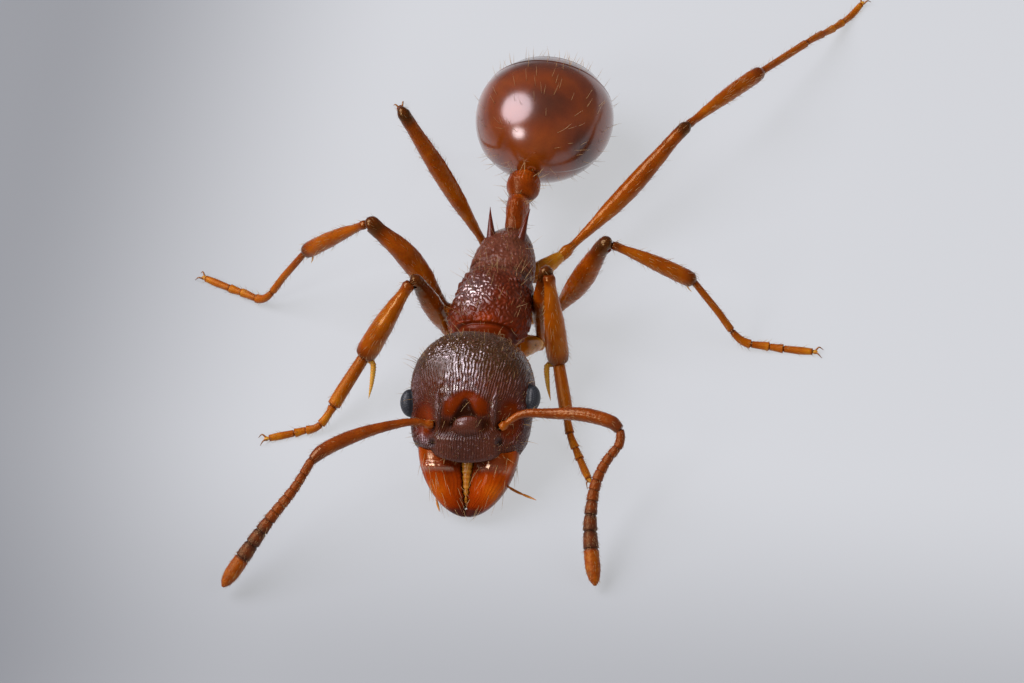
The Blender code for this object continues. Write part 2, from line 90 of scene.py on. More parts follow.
floor_mesh = bpy.data.meshes.new("floor")
half = FLOOR_HALF * MM
floor_mesh.from_pydata([(-half, -half, 0), (half, -half, 0), (half, half, 0), (-half, half, 0)],
                       [], [(0, 1, 2, 3)])
floor = bpy.data.objects.new("floor", floor_mesh)
bpy.context.scene.collection.objects.link(floor)
paper = bpy.data.materials.new("pale_paper")
paper.use_nodes = True
paper_shader = paper.node_tree.nodes["Principled BSDF"]
paper_shader.inputs["Base Color"].default_value = (*FLOOR_COLOUR, 1)
paper_shader.inputs["Roughness"].default_value = FLOOR_ROUGHNESS
paper_shader.inputs["Specular IOR Level"].default_value = FLOOR_SHINE
paper_shader.inputs["Emission Color"].default_value = (*FLOOR_GLOW, 1)
# The painted glow fades towards two edges of the view, so the floor is darker there
paper_nodes, paper_links = paper.node_tree.nodes, paper.node_tree.links
paper_place = paper_nodes.new("ShaderNodeSeparateXYZ")
paper_links.new(paper_nodes.new("ShaderNodeTexCoord").outputs["Object"], paper_place.inputs[0])
fades = []
for axis, (start, end, least) in (("X", GLOW_FADE), ("Y", GLOW_FADE_AHEAD)):
    fade = paper_nodes.new("ShaderNodeMapRange")
    fade.interpolation_type = "SMOOTHSTEP"
    for socket, value in (("From Min", start * MM), ("From Max", end * MM), ("To Min", 1.0),
                          ("To Max", least)):
        fade.inputs[socket].default_value = value
    paper_links.new(paper_place.outputs[axis], fade.inputs["Value"])
    fades.append(fade.outputs["Result"])
both_fades = paper_nodes.new("ShaderNodeMath")
both_fades.operation = "MULTIPLY"
for fade_output, socket in zip(fades, both_fades.inputs):
    paper_links.new(fade_output, socket)
paper_links.new(both_fades.outputs[0], paper_shader.inputs["Emission Strength"])
floor_mesh.materials.append(paper)

room = bpy.data.worlds.new("room")
room.use_nodes = True
room_light = room.node_tree.nodes["Background"]
room_light.inputs["Color"].default_value = (*ROOM_COLOUR, 1)
room_light.inputs["Strength"].default_value = ROOM_STRENGTH
bpy.context.scene.world = room
bpy.context.scene.view_settings.view_transform = "Standard"

for lamp_name, (direction, distance, width, watts, colour) in LAMPS.items():
    lamp = bpy.data.objects.new(lamp_name, bpy.data.lights.new(lamp_name, "AREA"))
    bpy.context.scene.collection.objects.link(lamp)
    lamp.data.shape = "DISK"
    lamp.data.size = width * MM
    lamp.data.energy = watts
    lamp.data.color = colour
    towards_lamp = Vector(direction).normalized()
    lamp.location = towards_lamp * distance * MM
    lamp.rotation_mode = "QUATERNION"
    lamp.rotation_quaternion = (-towards_lamp).to_track_quat("-Z", "Y")
    lamp.visible_glossy = lamp_name != "fill"  # the fill leaves no spot of its own on the shells

# ---- Head capsule -----------------------------------------------------------------------
# One hard shell, grown in a single piece: dark olive brown and wrinkled behind, warm brown in
# front, with orange-red lobes and pits where the feelers leave it. The wrinkles are ridges in
# the shell itself. The mesh is rings across the head, from its rear to the mouth.

HEAD_CENTRE = (-0.008, -1.75, 0.64)
HEAD_TURN, HEAD_TILT = 2.6, 33.0  # degrees: towards the ant's left, and nose down
HEAD_HALF_WIDTH = 0.52
HEAD_REAR, HEAD_WIDEST, HEAD_FRONT = 0.56, 0.08, -0.50
HEAD_ABOVE, HEAD_BELOW = 0.36, 0.38
NARROWER_AHEAD, LOWER_AHEAD, SHALLOWER_AHEAD = 0.05, 0.13, 0.16  # at its front, than at its widest
HEAD_BOXINESS = 2.3
CLYPEUS_REACH, CLYPEUS_HALF_WIDTH = 0.065, 0.30
CORNER_CUT, CORNER_WIDTH = 0.07, 0.16  # where the front edge draws back beside the clypeus
SOCKET_X, SOCKET_Y = 0.29, -0.26
FACE_SLANT = 0.05  # how much further forward the face's pattern lies on the ant's right
# Oval marks on each side of the face: place across and along it, half width and half length
FACE_OVALS = {
    "hollow": (0.17, -0.255, 0.09, 0.09),
    "pit": (0.365, -0.205, 0.125, 0.235),
    "socket": (SOCKET_X, SOCKET_Y, 0.055, 0.06),
    "end_pit": (0.285, -0.395, 0.045, 0.05),
}
# How far each mark stands out of the face, or sinks into it
FACE_HEIGHTS = {"dome": 0.038, "clypeus": 0.018, "swelling": 0.028, "ridge": 0.022,
                "triangle": -0.018, "pit": -0.075, "socket": -0.045, "end_pit": -0.03,
                "hollow": -0.02}
WRINKLE_STEP = 0.021  # from ridge to ridge
WRINKLE_HEIGHT, NET_HEIGHT = 0.0036, 0.0030
HEAD_COLOURS = (  # along the shell's tone, from its darkest brown to its clearest red
    (0.0, (0.060, 0.023, 0.004)), (0.25, (0.078, 0.023, 0.006)), (0.5, (0.112, 0.024, 0.010)),
    (0.75, (0.175, 0.022, 0.002)), (1.0, (0.29, 0.038, 0.0015)),
)
HEAD_SHINE = (1.0, 0.86, 0.98)  # the tint of what the shell mirrors


def turned(degrees, axis):
    """A body frame turned about one axis."""
    return np.array(Matrix.Rotation(math.radians(degrees), 4, axis))


def moved(place):
    """A body frame with its origin at that place."""
    return np.array(Matrix.Translation(place))


def placed(body_frame, points):
    """Points given in a body frame, in the row frame."""
    return points @ body_frame[:3, :3].T + body_frame[:3, 3]


def turns(sides, crowding=0.0):
    """Angles once round a ring from straight below, closer together on top by crowding."""
    t = np.arange(sides) / sides
    return -math.pi / 2 + 2 * math.pi * t + crowding * np.sin(2 * math.pi * t)


def signed_power(value, power):
    """The size of each value to that power, with the value's own sign."""
    return np.sign(value) * np.abs(value) ** power


def ovals(y, half_width, above, below, angle, boxiness):
    """Rings by sides: superellipses across a body at each y, whose height and depth differ."""
    power = 2 / boxiness
    cos, sin = np.cos(angle)[None, :], np.sin(angle)[None, :]
    x = half_width[:, None] * signed_power(cos, power)
    reach = np.where(sin > 0, above[:, None], below[:, None])
    z = reach * signed_power(sin, power)
    return np.stack([x, np.broadcast_to(y[:, None], x.shape), z], axis=-1)


def outward(grid):
    """Unit normals of a grid of points, from its differences along and round it."""
    along = np.gradient(grid, axis=0)
    round_it = np.roll(grid, -1, axis=1) - np.roll(grid, 1, axis=1)
    normal = np.cross(round_it, along)
    normal /= np.maximum(np.linalg.norm(normal, axis=-1, keepdims=True), 1e-12)
    middle = grid.reshape(-1, 3).mean(axis=0)
    return normal * np.sign(((grid - middle) * normal).sum())


def round_length(grid, at):
    """Length round each ring from side number at, negative one way and positive the other."""
    step = np.linalg.norm(np.diff(grid, axis=1), axis=-1)
    length = np.concatenate([np.zeros((len(grid), 1)), np.cumsum(step, axis=1)], axis=1)
    return length - length[:, at:at + 1]


def wander(points, size, seed, waves=16):
    """Smooth noise of about -1 to 1: a sum of plane waves of random direction and phase, each
    about size long."""
    draw = np.random.default_rng(seed)
    ways = draw.normal(size=(waves, 3))
    ways /= np.linalg.norm(ways, axis=1, keepdims=True)
    counts = 2 * math.pi / (size * draw.uniform(0.7, 1.5, waves))
    starts = draw.uniform(0, 2 * math.pi, waves)
    total = sum(np.sin(points @ way * count + start)
                for way, count, start in zip(ways, counts, starts))
    return total * 1.2 / math.sqrt(waves)


def ease(value, start, end):
    """0 before start, 1 after end, smooth between; start may be the greater."""
    t = np.clip((value - start) / (end - start), 0, 1)
    return t * t * (3 - 2 * t)


def mound(x, y, centre_x, centre_y, half_x, half_y):
    """1 in the middle of an oval patch, falling smoothly to 0 at its edge."""
    away = ((x - centre_x) / half_x) ** 2 + ((y - centre_y) / half_y) ** 2
    return np.clip(1 - away, 0, 1) ** 2


def surface(name, grid, material, slot, *nodes, patterns=None):
    """A closed mesh through rings by sides of points: quads between neighbouring rings, a fan
    to a pole at each end. patterns are named values per point, which the material reads."""
    rings, sides = grid.shape[:2]
    index = np.arange(rings * sides).reshape(rings, sides)
    beside = np.roll(index, -1, axis=1)
    quads = np.stack([index[:-1], beside[:-1], beside[1:], index[1:]], axis=-1).reshape(-1, 4)
    first = np.stack([beside[0], index[0], np.full(sides, rings * sides)], axis=-1)
    last = np.stack([index[-1], beside[-1], np.full(sides, rings * sides + 1)], axis=-1)
    points = np.concatenate([grid.reshape(-1, 3), grid[[0, -1]].mean(axis=1)])
    a, b, c = points[quads[:, 0]], points[quads[:, 1]], points[quads[:, 2]]
    if np.einsum("ij,ij->i", a - points.mean(axis=0), np.cross(b - a, c - a)).sum() < 0:
        quads, first, last = quads[:, ::-1], first[:, ::-1], last[:, ::-1]
    mesh = bpy.data.meshes.new(name)
    mesh.from_pydata((points * MM).tolist(), [], quads.tolist() + first.tolist() + last.tolist())
    for pattern, values in (patterns or {}).items():
        values = np.broadcast_to(values, grid.shape[:2])
        values = np.concatenate([values.reshape(-1), values[[0, -1]].mean(axis=1)])
        mesh.attributes.new(pattern, "FLOAT", "POINT").data.foreach_set("value", values)
    mesh.shade_smooth()
    mesh.materials.append(material)
    return set_in_place(bpy.data.objects.new(name, mesh), slot, *nodes)


def set_in_place(piece, slot, *nodes):
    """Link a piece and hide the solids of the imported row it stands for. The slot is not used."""
    bpy.context.scene.collection.objects.link(piece)
    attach(piece, "root")
    if nodes:
        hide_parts(*nodes)
    return piece


GRAIN_HEIGHT = 0.003  # of the fine bumps in every shell
SHELL_BLEED = (1.0, 0.3, 0.08)  # how far red, green and blue light spread inside the shell


def cuticle(name, colours, roughness, mottle=0.25, mottle_size=0.06, grain=0.3, grain_size=0.012,
            ridges=0.0, furrow_shade=0.35, coat=0.3, coat_roughness=0.15, depth=0.03, glow=0.12,
            gloss=0.2, tint=(1.0, 1.0, 1.0), uneven_sheen=False):
    """Shell material. Its colour runs along colours by the piece's tone and a mottling, and its
    shade darkens it. Ridges follow the piece's ridge pattern, and the furrow shade is painted
    shade that darkens the shell between them. Grain is fine bumps, gloss how strongly the shell
    mirrors, tint the colour of that, and glow how much light it lets through. A piece with
    uneven_sheen has a sheen pattern, which multiplies its coat and gloss."""
    material = bpy.data.materials.new(name)
    material.use_nodes = True
    nodes, links = material.node_tree.nodes, material.node_tree.links
    shader = nodes["Principled BSDF"]
    for socket, value in {
            "Specular IOR Level": gloss, "Specular Tint": (*tint, 1), "Coat Weight": coat,
            "Coat Roughness": coat_roughness, "Subsurface Weight": glow,
            "Subsurface Radius": SHELL_BLEED, "Subsurface Scale": depth * MM}.items():
        shader.inputs[socket].default_value = value
    place = nodes.new("ShaderNodeTexCoord").outputs["Object"]

    def pattern(which):
        """The values of one of the piece's patterns."""
        node = nodes.new("ShaderNodeAttribute")
        node.attribute_name = which
        return node.outputs["Fac"]

    def math_node(operation, first, second=None, third=None):
        """The result of an operation on up to three numbers or sockets."""
        node = nodes.new("ShaderNodeMath")
        node.operation = operation
        for socket, value in zip(node.inputs, (first, second, third)):
            if isinstance(value, bpy.types.NodeSocket):
                links.new(value, socket)
            elif value is not None:
                socket.default_value = value
        return node.outputs[0]

    def noise(size, detail):
        """Cloudy noise from 0 to 1, with lumps of about that size."""
        node = nodes.new("ShaderNodeTexNoise")
        node.inputs["Scale"].default_value = 1 / (size * MM)
        node.inputs["Detail"].default_value = detail
        links.new(place, node.inputs["Vector"])
        return node.outputs["Fac"]

    if uneven_sheen:
        sheen = pattern("sheen")
        links.new(math_node("MULTIPLY", sheen, gloss), shader.inputs["Specular IOR Level"])
        links.new(math_node("MULTIPLY", sheen, coat), shader.inputs["Coat Weight"])
    cloud = math_node("SUBTRACT", noise(mottle_size, 4.0), 0.5)
    tone = math_node("MULTIPLY_ADD", cloud, mottle * 2, pattern("tone"))
    ramp = nodes.new("ShaderNodeValToRGB")
    stops = ramp.color_ramp.elements
    for at, colour in colours[1:-1]:
        stops.new(at).color = (*colour, 1)
    stops[0].position, stops[0].color = colours[0][0], (*colours[0][1], 1)
    stops[-1].position, stops[-1].color = colours[-1][0], (*colours[-1][1], 1)
    links.new(tone, ramp.inputs["Fac"])
    lightness = math_node("SUBTRACT", 1.0, pattern("shade"))
    specks = noise(grain_size, 2.0)
    if ridges:
        wave = math_node("COSINE", pattern("ridge_phase"))
        crest = math_node("MULTIPLY", math_node("MULTIPLY_ADD", wave, 0.5, 0.5),
                          pattern("ridge_depth"))
        # Painted shade darkens the shell between the ridges
        lightness = math_node("MULTIPLY", lightness,
                              math_node("MULTIPLY_ADD", crest, furrow_shade, 1 - furrow_shade))
    lightness = math_node("MULTIPLY", lightness, math_node("MULTIPLY_ADD", specks, 0.5, 0.75))
    darken = nodes.new("ShaderNodeVectorMath")
    darken.operation = "SCALE"
    links.new(ramp.outputs["Color"], darken.inputs[0])
    links.new(lightness, darken.inputs["Scale"])
    links.new(darken.outputs[0], shader.inputs["Base Color"])
    links.new(math_node("MULTIPLY_ADD", specks, 0.2, roughness - 0.1), shader.inputs["Roughness"])
    bump = nodes.new("ShaderNodeBump")
    bump.inputs["Strength"].default_value = grain
    bump.inputs["Distance"].default_value = GRAIN_HEIGHT * MM
    links.new(specks, bump.inputs["Height"])
    if ridges:
        wrinkles = nodes.new("ShaderNodeBump")
        wrinkles.inputs["Strength"].default_value = 1.0
        wrinkles.inputs["Distance"].default_value = ridges * MM
        links.new(crest, wrinkles.inputs["Height"])
        links.new(wrinkles.outputs["Normal"], bump.inputs["Normal"])
    links.new(bump.outputs["Normal"], shader.inputs["Normal"])
    return material


def head_section(y):
    """Half width, height above and depth below of the head at each y."""
    behind = np.clip((y - HEAD_WIDEST) / (HEAD_REAR - HEAD_WIDEST), 0, 1)
    closing = 1 - behind**2
    ahead = np.clip((HEAD_WIDEST - y) / (HEAD_WIDEST - HEAD_FRONT), 0, 1)
    blunt = 0.8 + 0.2 * (1 - ahead**6) ** 0.35
    width = (HEAD_HALF_WIDTH - NARROWER_AHEAD * ahead**2) * blunt * closing**0.42
    above = (HEAD_ABOVE - LOWER_AHEAD * ahead**1.5) * blunt * closing**0.42
    below = (HEAD_BELOW - SHALLOWER_AHEAD * ahead**1.5) * blunt * closing**0.5
    return width, above, below


def front_edge(x):
    """How far the head's front edge reaches forward at x: most in the middle, and less than 0
    at the rounded corners."""
    corner = np.clip((np.abs(x) - CLYPEUS_HALF_WIDTH) / CORNER_WIDTH, 0, 1)
    return CLYPEUS_REACH * np.clip(1 - (x / CLYPEUS_HALF_WIDTH) ** 2, 0, 1) - CORNER_CUT * corner**2


def face_marks(x, y):
    """Where the face's features lie, each 0 to 1: the dome, the clypeus, the frontal lobes and
    the swelling under each, the dark triangle between them, the ridge beside each lobe, the
    hollow beside the dome, the pit and socket of each feeler and the small pit at each end of
    the clypeus."""
    side = np.abs(x)
    y = y - FACE_SLANT * x
    arch = 0.045 - 1.3 * side**1.5
    inner = -0.60 * (y + 0.03)
    dome = mound(x - 0.02, y, 0, -0.258, 0.14, 0.085) ** 0.5
    triangle = ease(side, inner + 0.03, inner - 0.02) * ease(y, -0.02, -0.06) * (
        ease(y, -0.29, -0.24) * (1 - ease(dome, 0.1, 0.35)))
    return {
        "dome": dome,
        "clypeus": ease(y, -0.30, -0.37) * ease(side, 0.31, 0.23),
        "lobes": (ease(y, arch + 0.02, arch - 0.045) * ease(side, 0.215, 0.155)
                  * ease(y, -0.225, -0.14) * (1 - triangle)),
        "swelling": mound(side, y, 0.12, -0.11, 0.11, 0.15),
        "triangle": triangle,
        "ridge": mound(side - 0.06 * (y + 0.15), y, 0.235, -0.12, 0.035, 0.20),
        **{name: mound(side, y, *oval) for name, oval in FACE_OVALS.items()},
    }


def face_relief(x, y):
    """How far the face stands out at each place."""
    marks = face_marks(x, y)
    return sum(height * marks[name] for name, height in FACE_HEIGHTS.items())


HEAD = moved(HEAD_CENTRE) @ turned(HEAD_TURN, "Z") @ turned(HEAD_TILT, "X")


def head_wrinkles(grid, ring_y, across, angle, marks):
    """Ridges that run lengthwise and fan out from the face, and the net of folds that they
    break up into behind and at the sides: the ridges' phase and depth, and the net."""
    wavy = wander(grid, 0.16, 1) + 0.5 * wander(grid, 0.06, 2)
    fan = across / (1 + 0.9 * np.clip(ring_y + 0.10, 0, None))
    clypeus, vertex, flank = marks["clypeus"], marks["vertex"], marks["flank"]
    phase = 2 * math.pi * (fan / WRINKLE_STEP) * (1 - 0.12 * clypeus) + wavy * (
        1.1 + 1.2 * np.maximum(vertex, 0.8 * flank))
    smooth = np.clip(1 - 1.8 * marks["pit"] - 1.1 * marks["lobes"] - 1.1 * marks["triangle"]
                     - 1.1 * marks["dome"], 0, 1)
    smooth = smooth * (1 - 0.7 * marks["hollow"])
    beneath = ease(np.sin(angle), -0.75, -0.35)[None, :]
    depth = smooth * beneath * (0.72 + 0.35 * wander(grid, 0.05, 3))
    depth = np.clip(depth * (1 - 0.75 * vertex) * (1 - 0.35 * clypeus), 0, 1.2)
    depth = depth * (1 - 0.7 * clypeus * ease(wander(grid * [1, 0.5, 1], 0.03, 5), 0.4, -0.2))
    netting = np.maximum(vertex, 0.6 * flank) * smooth * beneath
    return phase, depth, netting * np.abs(wander(grid * [1, 1.4, 1], 0.026, 4))


def head_patterns_of(grid, x, ring_y, across, up, marks, phase, depth, net):
    """The head's patterns: tone from olive behind to red in the pits; shade, with painted shade in
    every hollow and groove and painted highlights on the dome and on the ridges above the lobes;
    and a sheen that is brightest on the ridges above the lobes."""
    side = np.abs(across)
    pit, lobes, triangle, dome = (marks[key] for key in ("pit", "lobes", "triangle", "dome"))
    clypeus, vertex, flank = marks["clypeus"], marks["vertex"], marks["flank"]
    tone = (0.40 - 0.40 * ease(ring_y, 0.06, 0.36) + 0.42 * lobes + 0.60 * np.clip(1.4 * pit, 0, 1)
            + 0.06 * ease(side, 0.40, 0.50) * ease(ring_y, 0.3, 0.0)
            + 0.22 * vertex * wander(grid, 0.02, 6))
    front = ease(ring_y, -0.40, -0.46) * (1 - clypeus) * up
    seam = ease(ring_y, -0.29, -0.33) * ease(ring_y, -0.37, -0.34) * up * ease(side, 0.30, 0.2)
    # Painted sheen: the frons is lighter over a broad patch, and the dome is lighter too
    painted_sheen = mound(across + 0.02, ring_y, 0, 0.16, 0.36, 0.30) * (1 - lobes) * (1 - triangle)
    # Painted shade in the end pits, the sockets, the hollows beside the dome and where each ridge
    # runs into its pit
    shade = np.clip(0.45 * marks["ridge"] * ease(pit, 0.1, 0.5) + 0.8 * marks["end_pit"]
                    + 0.66 * triangle + 0.5 * marks["socket"] + 0.15 * front - 0.2 * net
                    + 0.30 * seam - 0.25 * painted_sheen + 0.55 * marks["hollow"] - 0.35 * dome
                    + 0.16 * lobes * ease(ring_y, -0.08, -0.18)
                    + clypeus * (0.42 * (1 - ease(side, 0.05, 0.22)) - 0.22)
                    + 0.30 * flank * (1 - vertex), -0.5, 0.92)
    # Painted highlights on the ridge crests and painted shade in the grooves, strongest over a
    # patch above the lobes, where the gloss is raised too; the grooves of the clypeus and the
    # vertex get painted shade as well
    highlight_patch = mound(across - 0.03, ring_y, 0, 0.09, 0.25, 0.26) ** 0.8
    groove = depth * (0.5 - 0.5 * np.cos(phase))
    shade = np.clip(shade + 0.55 * highlight_patch * groove + 0.30 * groove * clypeus
                    - 0.25 * highlight_patch * (depth - groove)
                    + vertex * (0.22 * groove + 0.25 - 0.55 * net), -0.5, 0.92)
    dull = np.maximum(np.maximum(pit, lobes), np.maximum(triangle, marks["hollow"]))
    patchy = 0.62 + 0.5 * wander(grid, 0.05, 7)
    sheen = 0.30 - 0.2 * vertex + 3.9 * highlight_patch * patchy + 1.6 * vertex * net
    sheen = sheen * (1 - 0.93 * np.clip(1.6 * dull, 0, 1))
    sheen = sheen + 2.0 * mound(x, ring_y, -0.36, -0.40, 0.09, 0.09) + 0.5 * dome
    sheen = sheen + 0.8 * ease(marks["ridge"], 0.1, 0.5) + 0.4 * clypeus + 0.3 * flank
    return {"tone": tone, "shade": shade, "ridge_phase": phase, "ridge_depth": depth,
            "sheen": np.clip(sheen, 0, 4)}


def head_shape(rings=248, sides=396, mouth_rings=12):
    """The capsule's ovals with the face's relief and the wrinkles added outwards, then rings
    that draw in towards the mouth, with the patterns for its material."""
    middle, half = (HEAD_REAR + HEAD_FRONT) / 2, (HEAD_REAR - HEAD_FRONT) / 2
    body_rings = rings - mouth_rings
    y = middle + half * np.cos(math.pi * (np.arange(body_rings) + 0.5) / (body_rings - 0.5))
    angle = turns(sides, crowding=0.45)
    grid = ovals(y, *head_section(y), angle, HEAD_BOXINESS)
    up = ease(np.sin(angle), -0.05, 0.25)[None, :]
    x, ring_y = grid[..., 0], grid[..., 1].copy()
    grid[..., 2] += up * face_relief(x, ring_y)
    ahead = np.clip((HEAD_WIDEST - ring_y) / (HEAD_WIDEST - HEAD_FRONT), 0, 1)
    grid[..., 1] -= ahead**6 * front_edge(x)

    across = round_length(grid, sides // 2)
    marks = {key: value * up for key, value in face_marks(x, ring_y).items()}
    marks["vertex"] = ease(ring_y, 0.12, 0.36)
    marks["flank"] = ease(np.abs(across), 0.34, 0.52)
    phase, depth, net = head_wrinkles(grid, ring_y, across, angle, marks)
    crest = depth * (0.5 + 0.5 * np.cos(phase))
    grid = grid + outward(grid) * (WRINKLE_HEIGHT * crest + NET_HEIGHT * net)[..., None]
    patterns = head_patterns_of(grid, x, ring_y, across, up, marks, phase, depth, net)

    shrink = np.linspace(1, 0.05, mouth_rings + 1)[1:, None, None]
    mouth = grid[-1:].mean(axis=1, keepdims=True) + [0, 0.10, -0.02] * (1 - shrink)
    grid = np.concatenate([grid, mouth + (grid[-1:] - mouth) * shrink])
    patterns = {key: np.concatenate([value, np.repeat(value[-1:], mouth_rings, axis=0)])
                for key, value in patterns.items()}
    return grid, patterns


head_grid, head_patterns = head_shape()
head_shell = cuticle("head_shell", HEAD_COLOURS, roughness=0.27, mottle=0.10, mottle_size=0.035,
                     grain=0.5, grain_size=0.010, ridges=0.0060, coat=0.62, coat_roughness=0.11,
                     glow=0.04, gloss=0.5, tint=HEAD_SHINE, uneven_sheen=True)
surface("head_capsule", placed(HEAD, head_grid), head_shell, "head", "head",
        patterns=head_patterns)

# ---- Eyes -------------------------------------------------------------------------------
# Each is a low oval dome of hard, clear lenses packed in hexagons over dark pigment, blue
# black with a soft gloss, and set into the side of the head.

SIDES = {"left": 1, "right": -1}  # the sign of x on each side of the ant
EYE_Y = {"left": 0.01, "right": -0.075}  # the head is not quite even
EYE_ANGLE = 14.0  # up from the side of the head
EYE_HALF_LENGTH, EYE_HALF_HEIGHT, EYE_BULGE = 0.118, 0.095, 0.085
LENS_STEP, LENS_HEIGHT = 0.0185, 0.0022
# The rim, from inside the head outwards: share of the eye's size, and height off the head
EYE_RIM = ((0.3, -0.03), (0.9, -0.03), (1.02, -0.012), (1.05, 0.004))
RIM_HEIGHT = 0.006
EYE_COLOURS = ((0.0, (0.012, 0.013, 0.017)), (0.5, (0.032, 0.035, 0.042)),
               (1.0, (0.075, 0.080, 0.092)))


def hexagons(x, y, step):
    """0 along the edges of a honeycomb with that step, rising to 1 in the middle of each cell:
    the nearest of two interleaved rectangular lattices of centres."""
    wide, tall = step, step * math.sqrt(3)
    first = np.hypot((x / wide + 0.5) % 1 * wide - wide / 2, (y / tall + 0.5) % 1 * tall - tall / 2)
    second = np.hypot(x / wide % 1 * wide - wide / 2, y / tall % 1 * tall - tall / 2)
    return np.clip(1 - (np.minimum(first, second) / (0.56 * step)) ** 2, 0, 1)


def eye_shape(side_name, rings=64, sides=120):
    """Ovals that start inside the head, turn over a rim and close over the dome, each point
    laid out along the head's side and lifted off it, with a bump for each lens."""
    share = np.linspace(1.0, 0.01, rings)
    raised = RIM_HEIGHT + EYE_BULGE * np.sqrt(1 - share**2)
    share, raised = np.concatenate([EYE_RIM, np.stack([share, raised], axis=1)]).T
    turn = 2 * math.pi * np.arange(sides) / sides
    along = EYE_HALF_LENGTH * share[:, None] * np.cos(turn)
    y = EYE_Y[side_name] + along
    up = EYE_HALF_HEIGHT * share[:, None] * np.sin(turn)
    lens = hexagons(along, up, LENS_STEP) * ease(share, 1.0, 0.93)[:, None]
    width, above, _ = head_section(y)
    angle = math.radians(EYE_ANGLE) + up / HEAD_HALF_WIDTH
    power = 2 / HEAD_BOXINESS
    x, z = width * np.cos(angle) ** power, above * np.sin(angle) ** power
    out = np.stack([x / width**2, np.zeros_like(x), z / above**2], axis=-1)
    out /= np.linalg.norm(out, axis=-1, keepdims=True)
    grid = np.stack([x, y, z], axis=-1)
    grid = grid + out * (raised[:, None] + LENS_HEIGHT * lens)[..., None]
    shade = 0.45 * (1 - lens) * ease(share, 1.05, 0.98)[:, None]
    return grid * [SIDES[side_name], 1, 1], {"tone": 0.30 + 0.45 * lens, "shade": shade}


eye_finish = cuticle("eye_lenses", EYE_COLOURS, roughness=0.34, mottle=0.12, mottle_size=0.05,
                     grain=0.1, coat=0.15, coat_roughness=0.3, glow=0.0)
for side_name in SIDES:
    eye_grid, eye_patterns = eye_shape(side_name)
    surface(f"eye_{side_name}_dome", placed(HEAD, eye_grid), eye_finish, "eye",
            f"eye_{side_name}", patterns=eye_patterns)

# ---- Mandibles --------------------------------------------------------------------------
# Two curved triangular blades of thick glossy amber shell, hinged under the corners of the
# head, with fine lengthwise grooves. Their straight inner edges carry a row of dark teeth and
# nearly meet, and their tips are dark.

MANDIBLE_REACH = 0.49
MANDIBLE_HALF_WIDTH = 0.43
MANDIBLE_HALF_HEIGHT = 0.15
MANDIBLE_PARTING = 0.055  # from the middle line to each toothed edge, at its inner end
MANDIBLE_ROOT = HEAD_FRONT + 0.03
TEETH, TOOTH_LENGTH = 8, 0.020
# Each blade has a fold across its base, and painted shade behind it, under the clypeus's edge
JAW_FOLD_HEIGHT = {"left": 0.012, "right": 0.028}
JAW_ROOT_SHADE = {"left": 0.62, "right": 0.35}
JAW_DIP, JAW_GROOVE_DEPTH = 0.030, 0.0012
JAW_SHINE = (1.0, 0.55, 0.2)
MANDIBLE_COLOURS = (
    (0.0, (0.055, 0.014, 0.010)), (0.25, (0.14, 0.014, 0.001)), (0.5, (0.24, 0.026, 0.0005)),
    (0.75, (0.34, 0.045, 0.0008)), (1.0, (0.48, 0.10, 0.004)),
)


def streak(away, half_width):
    """1 on a line and fading to either side of it, from the distance to that line."""
    return np.exp(-(away / half_width) ** 2)


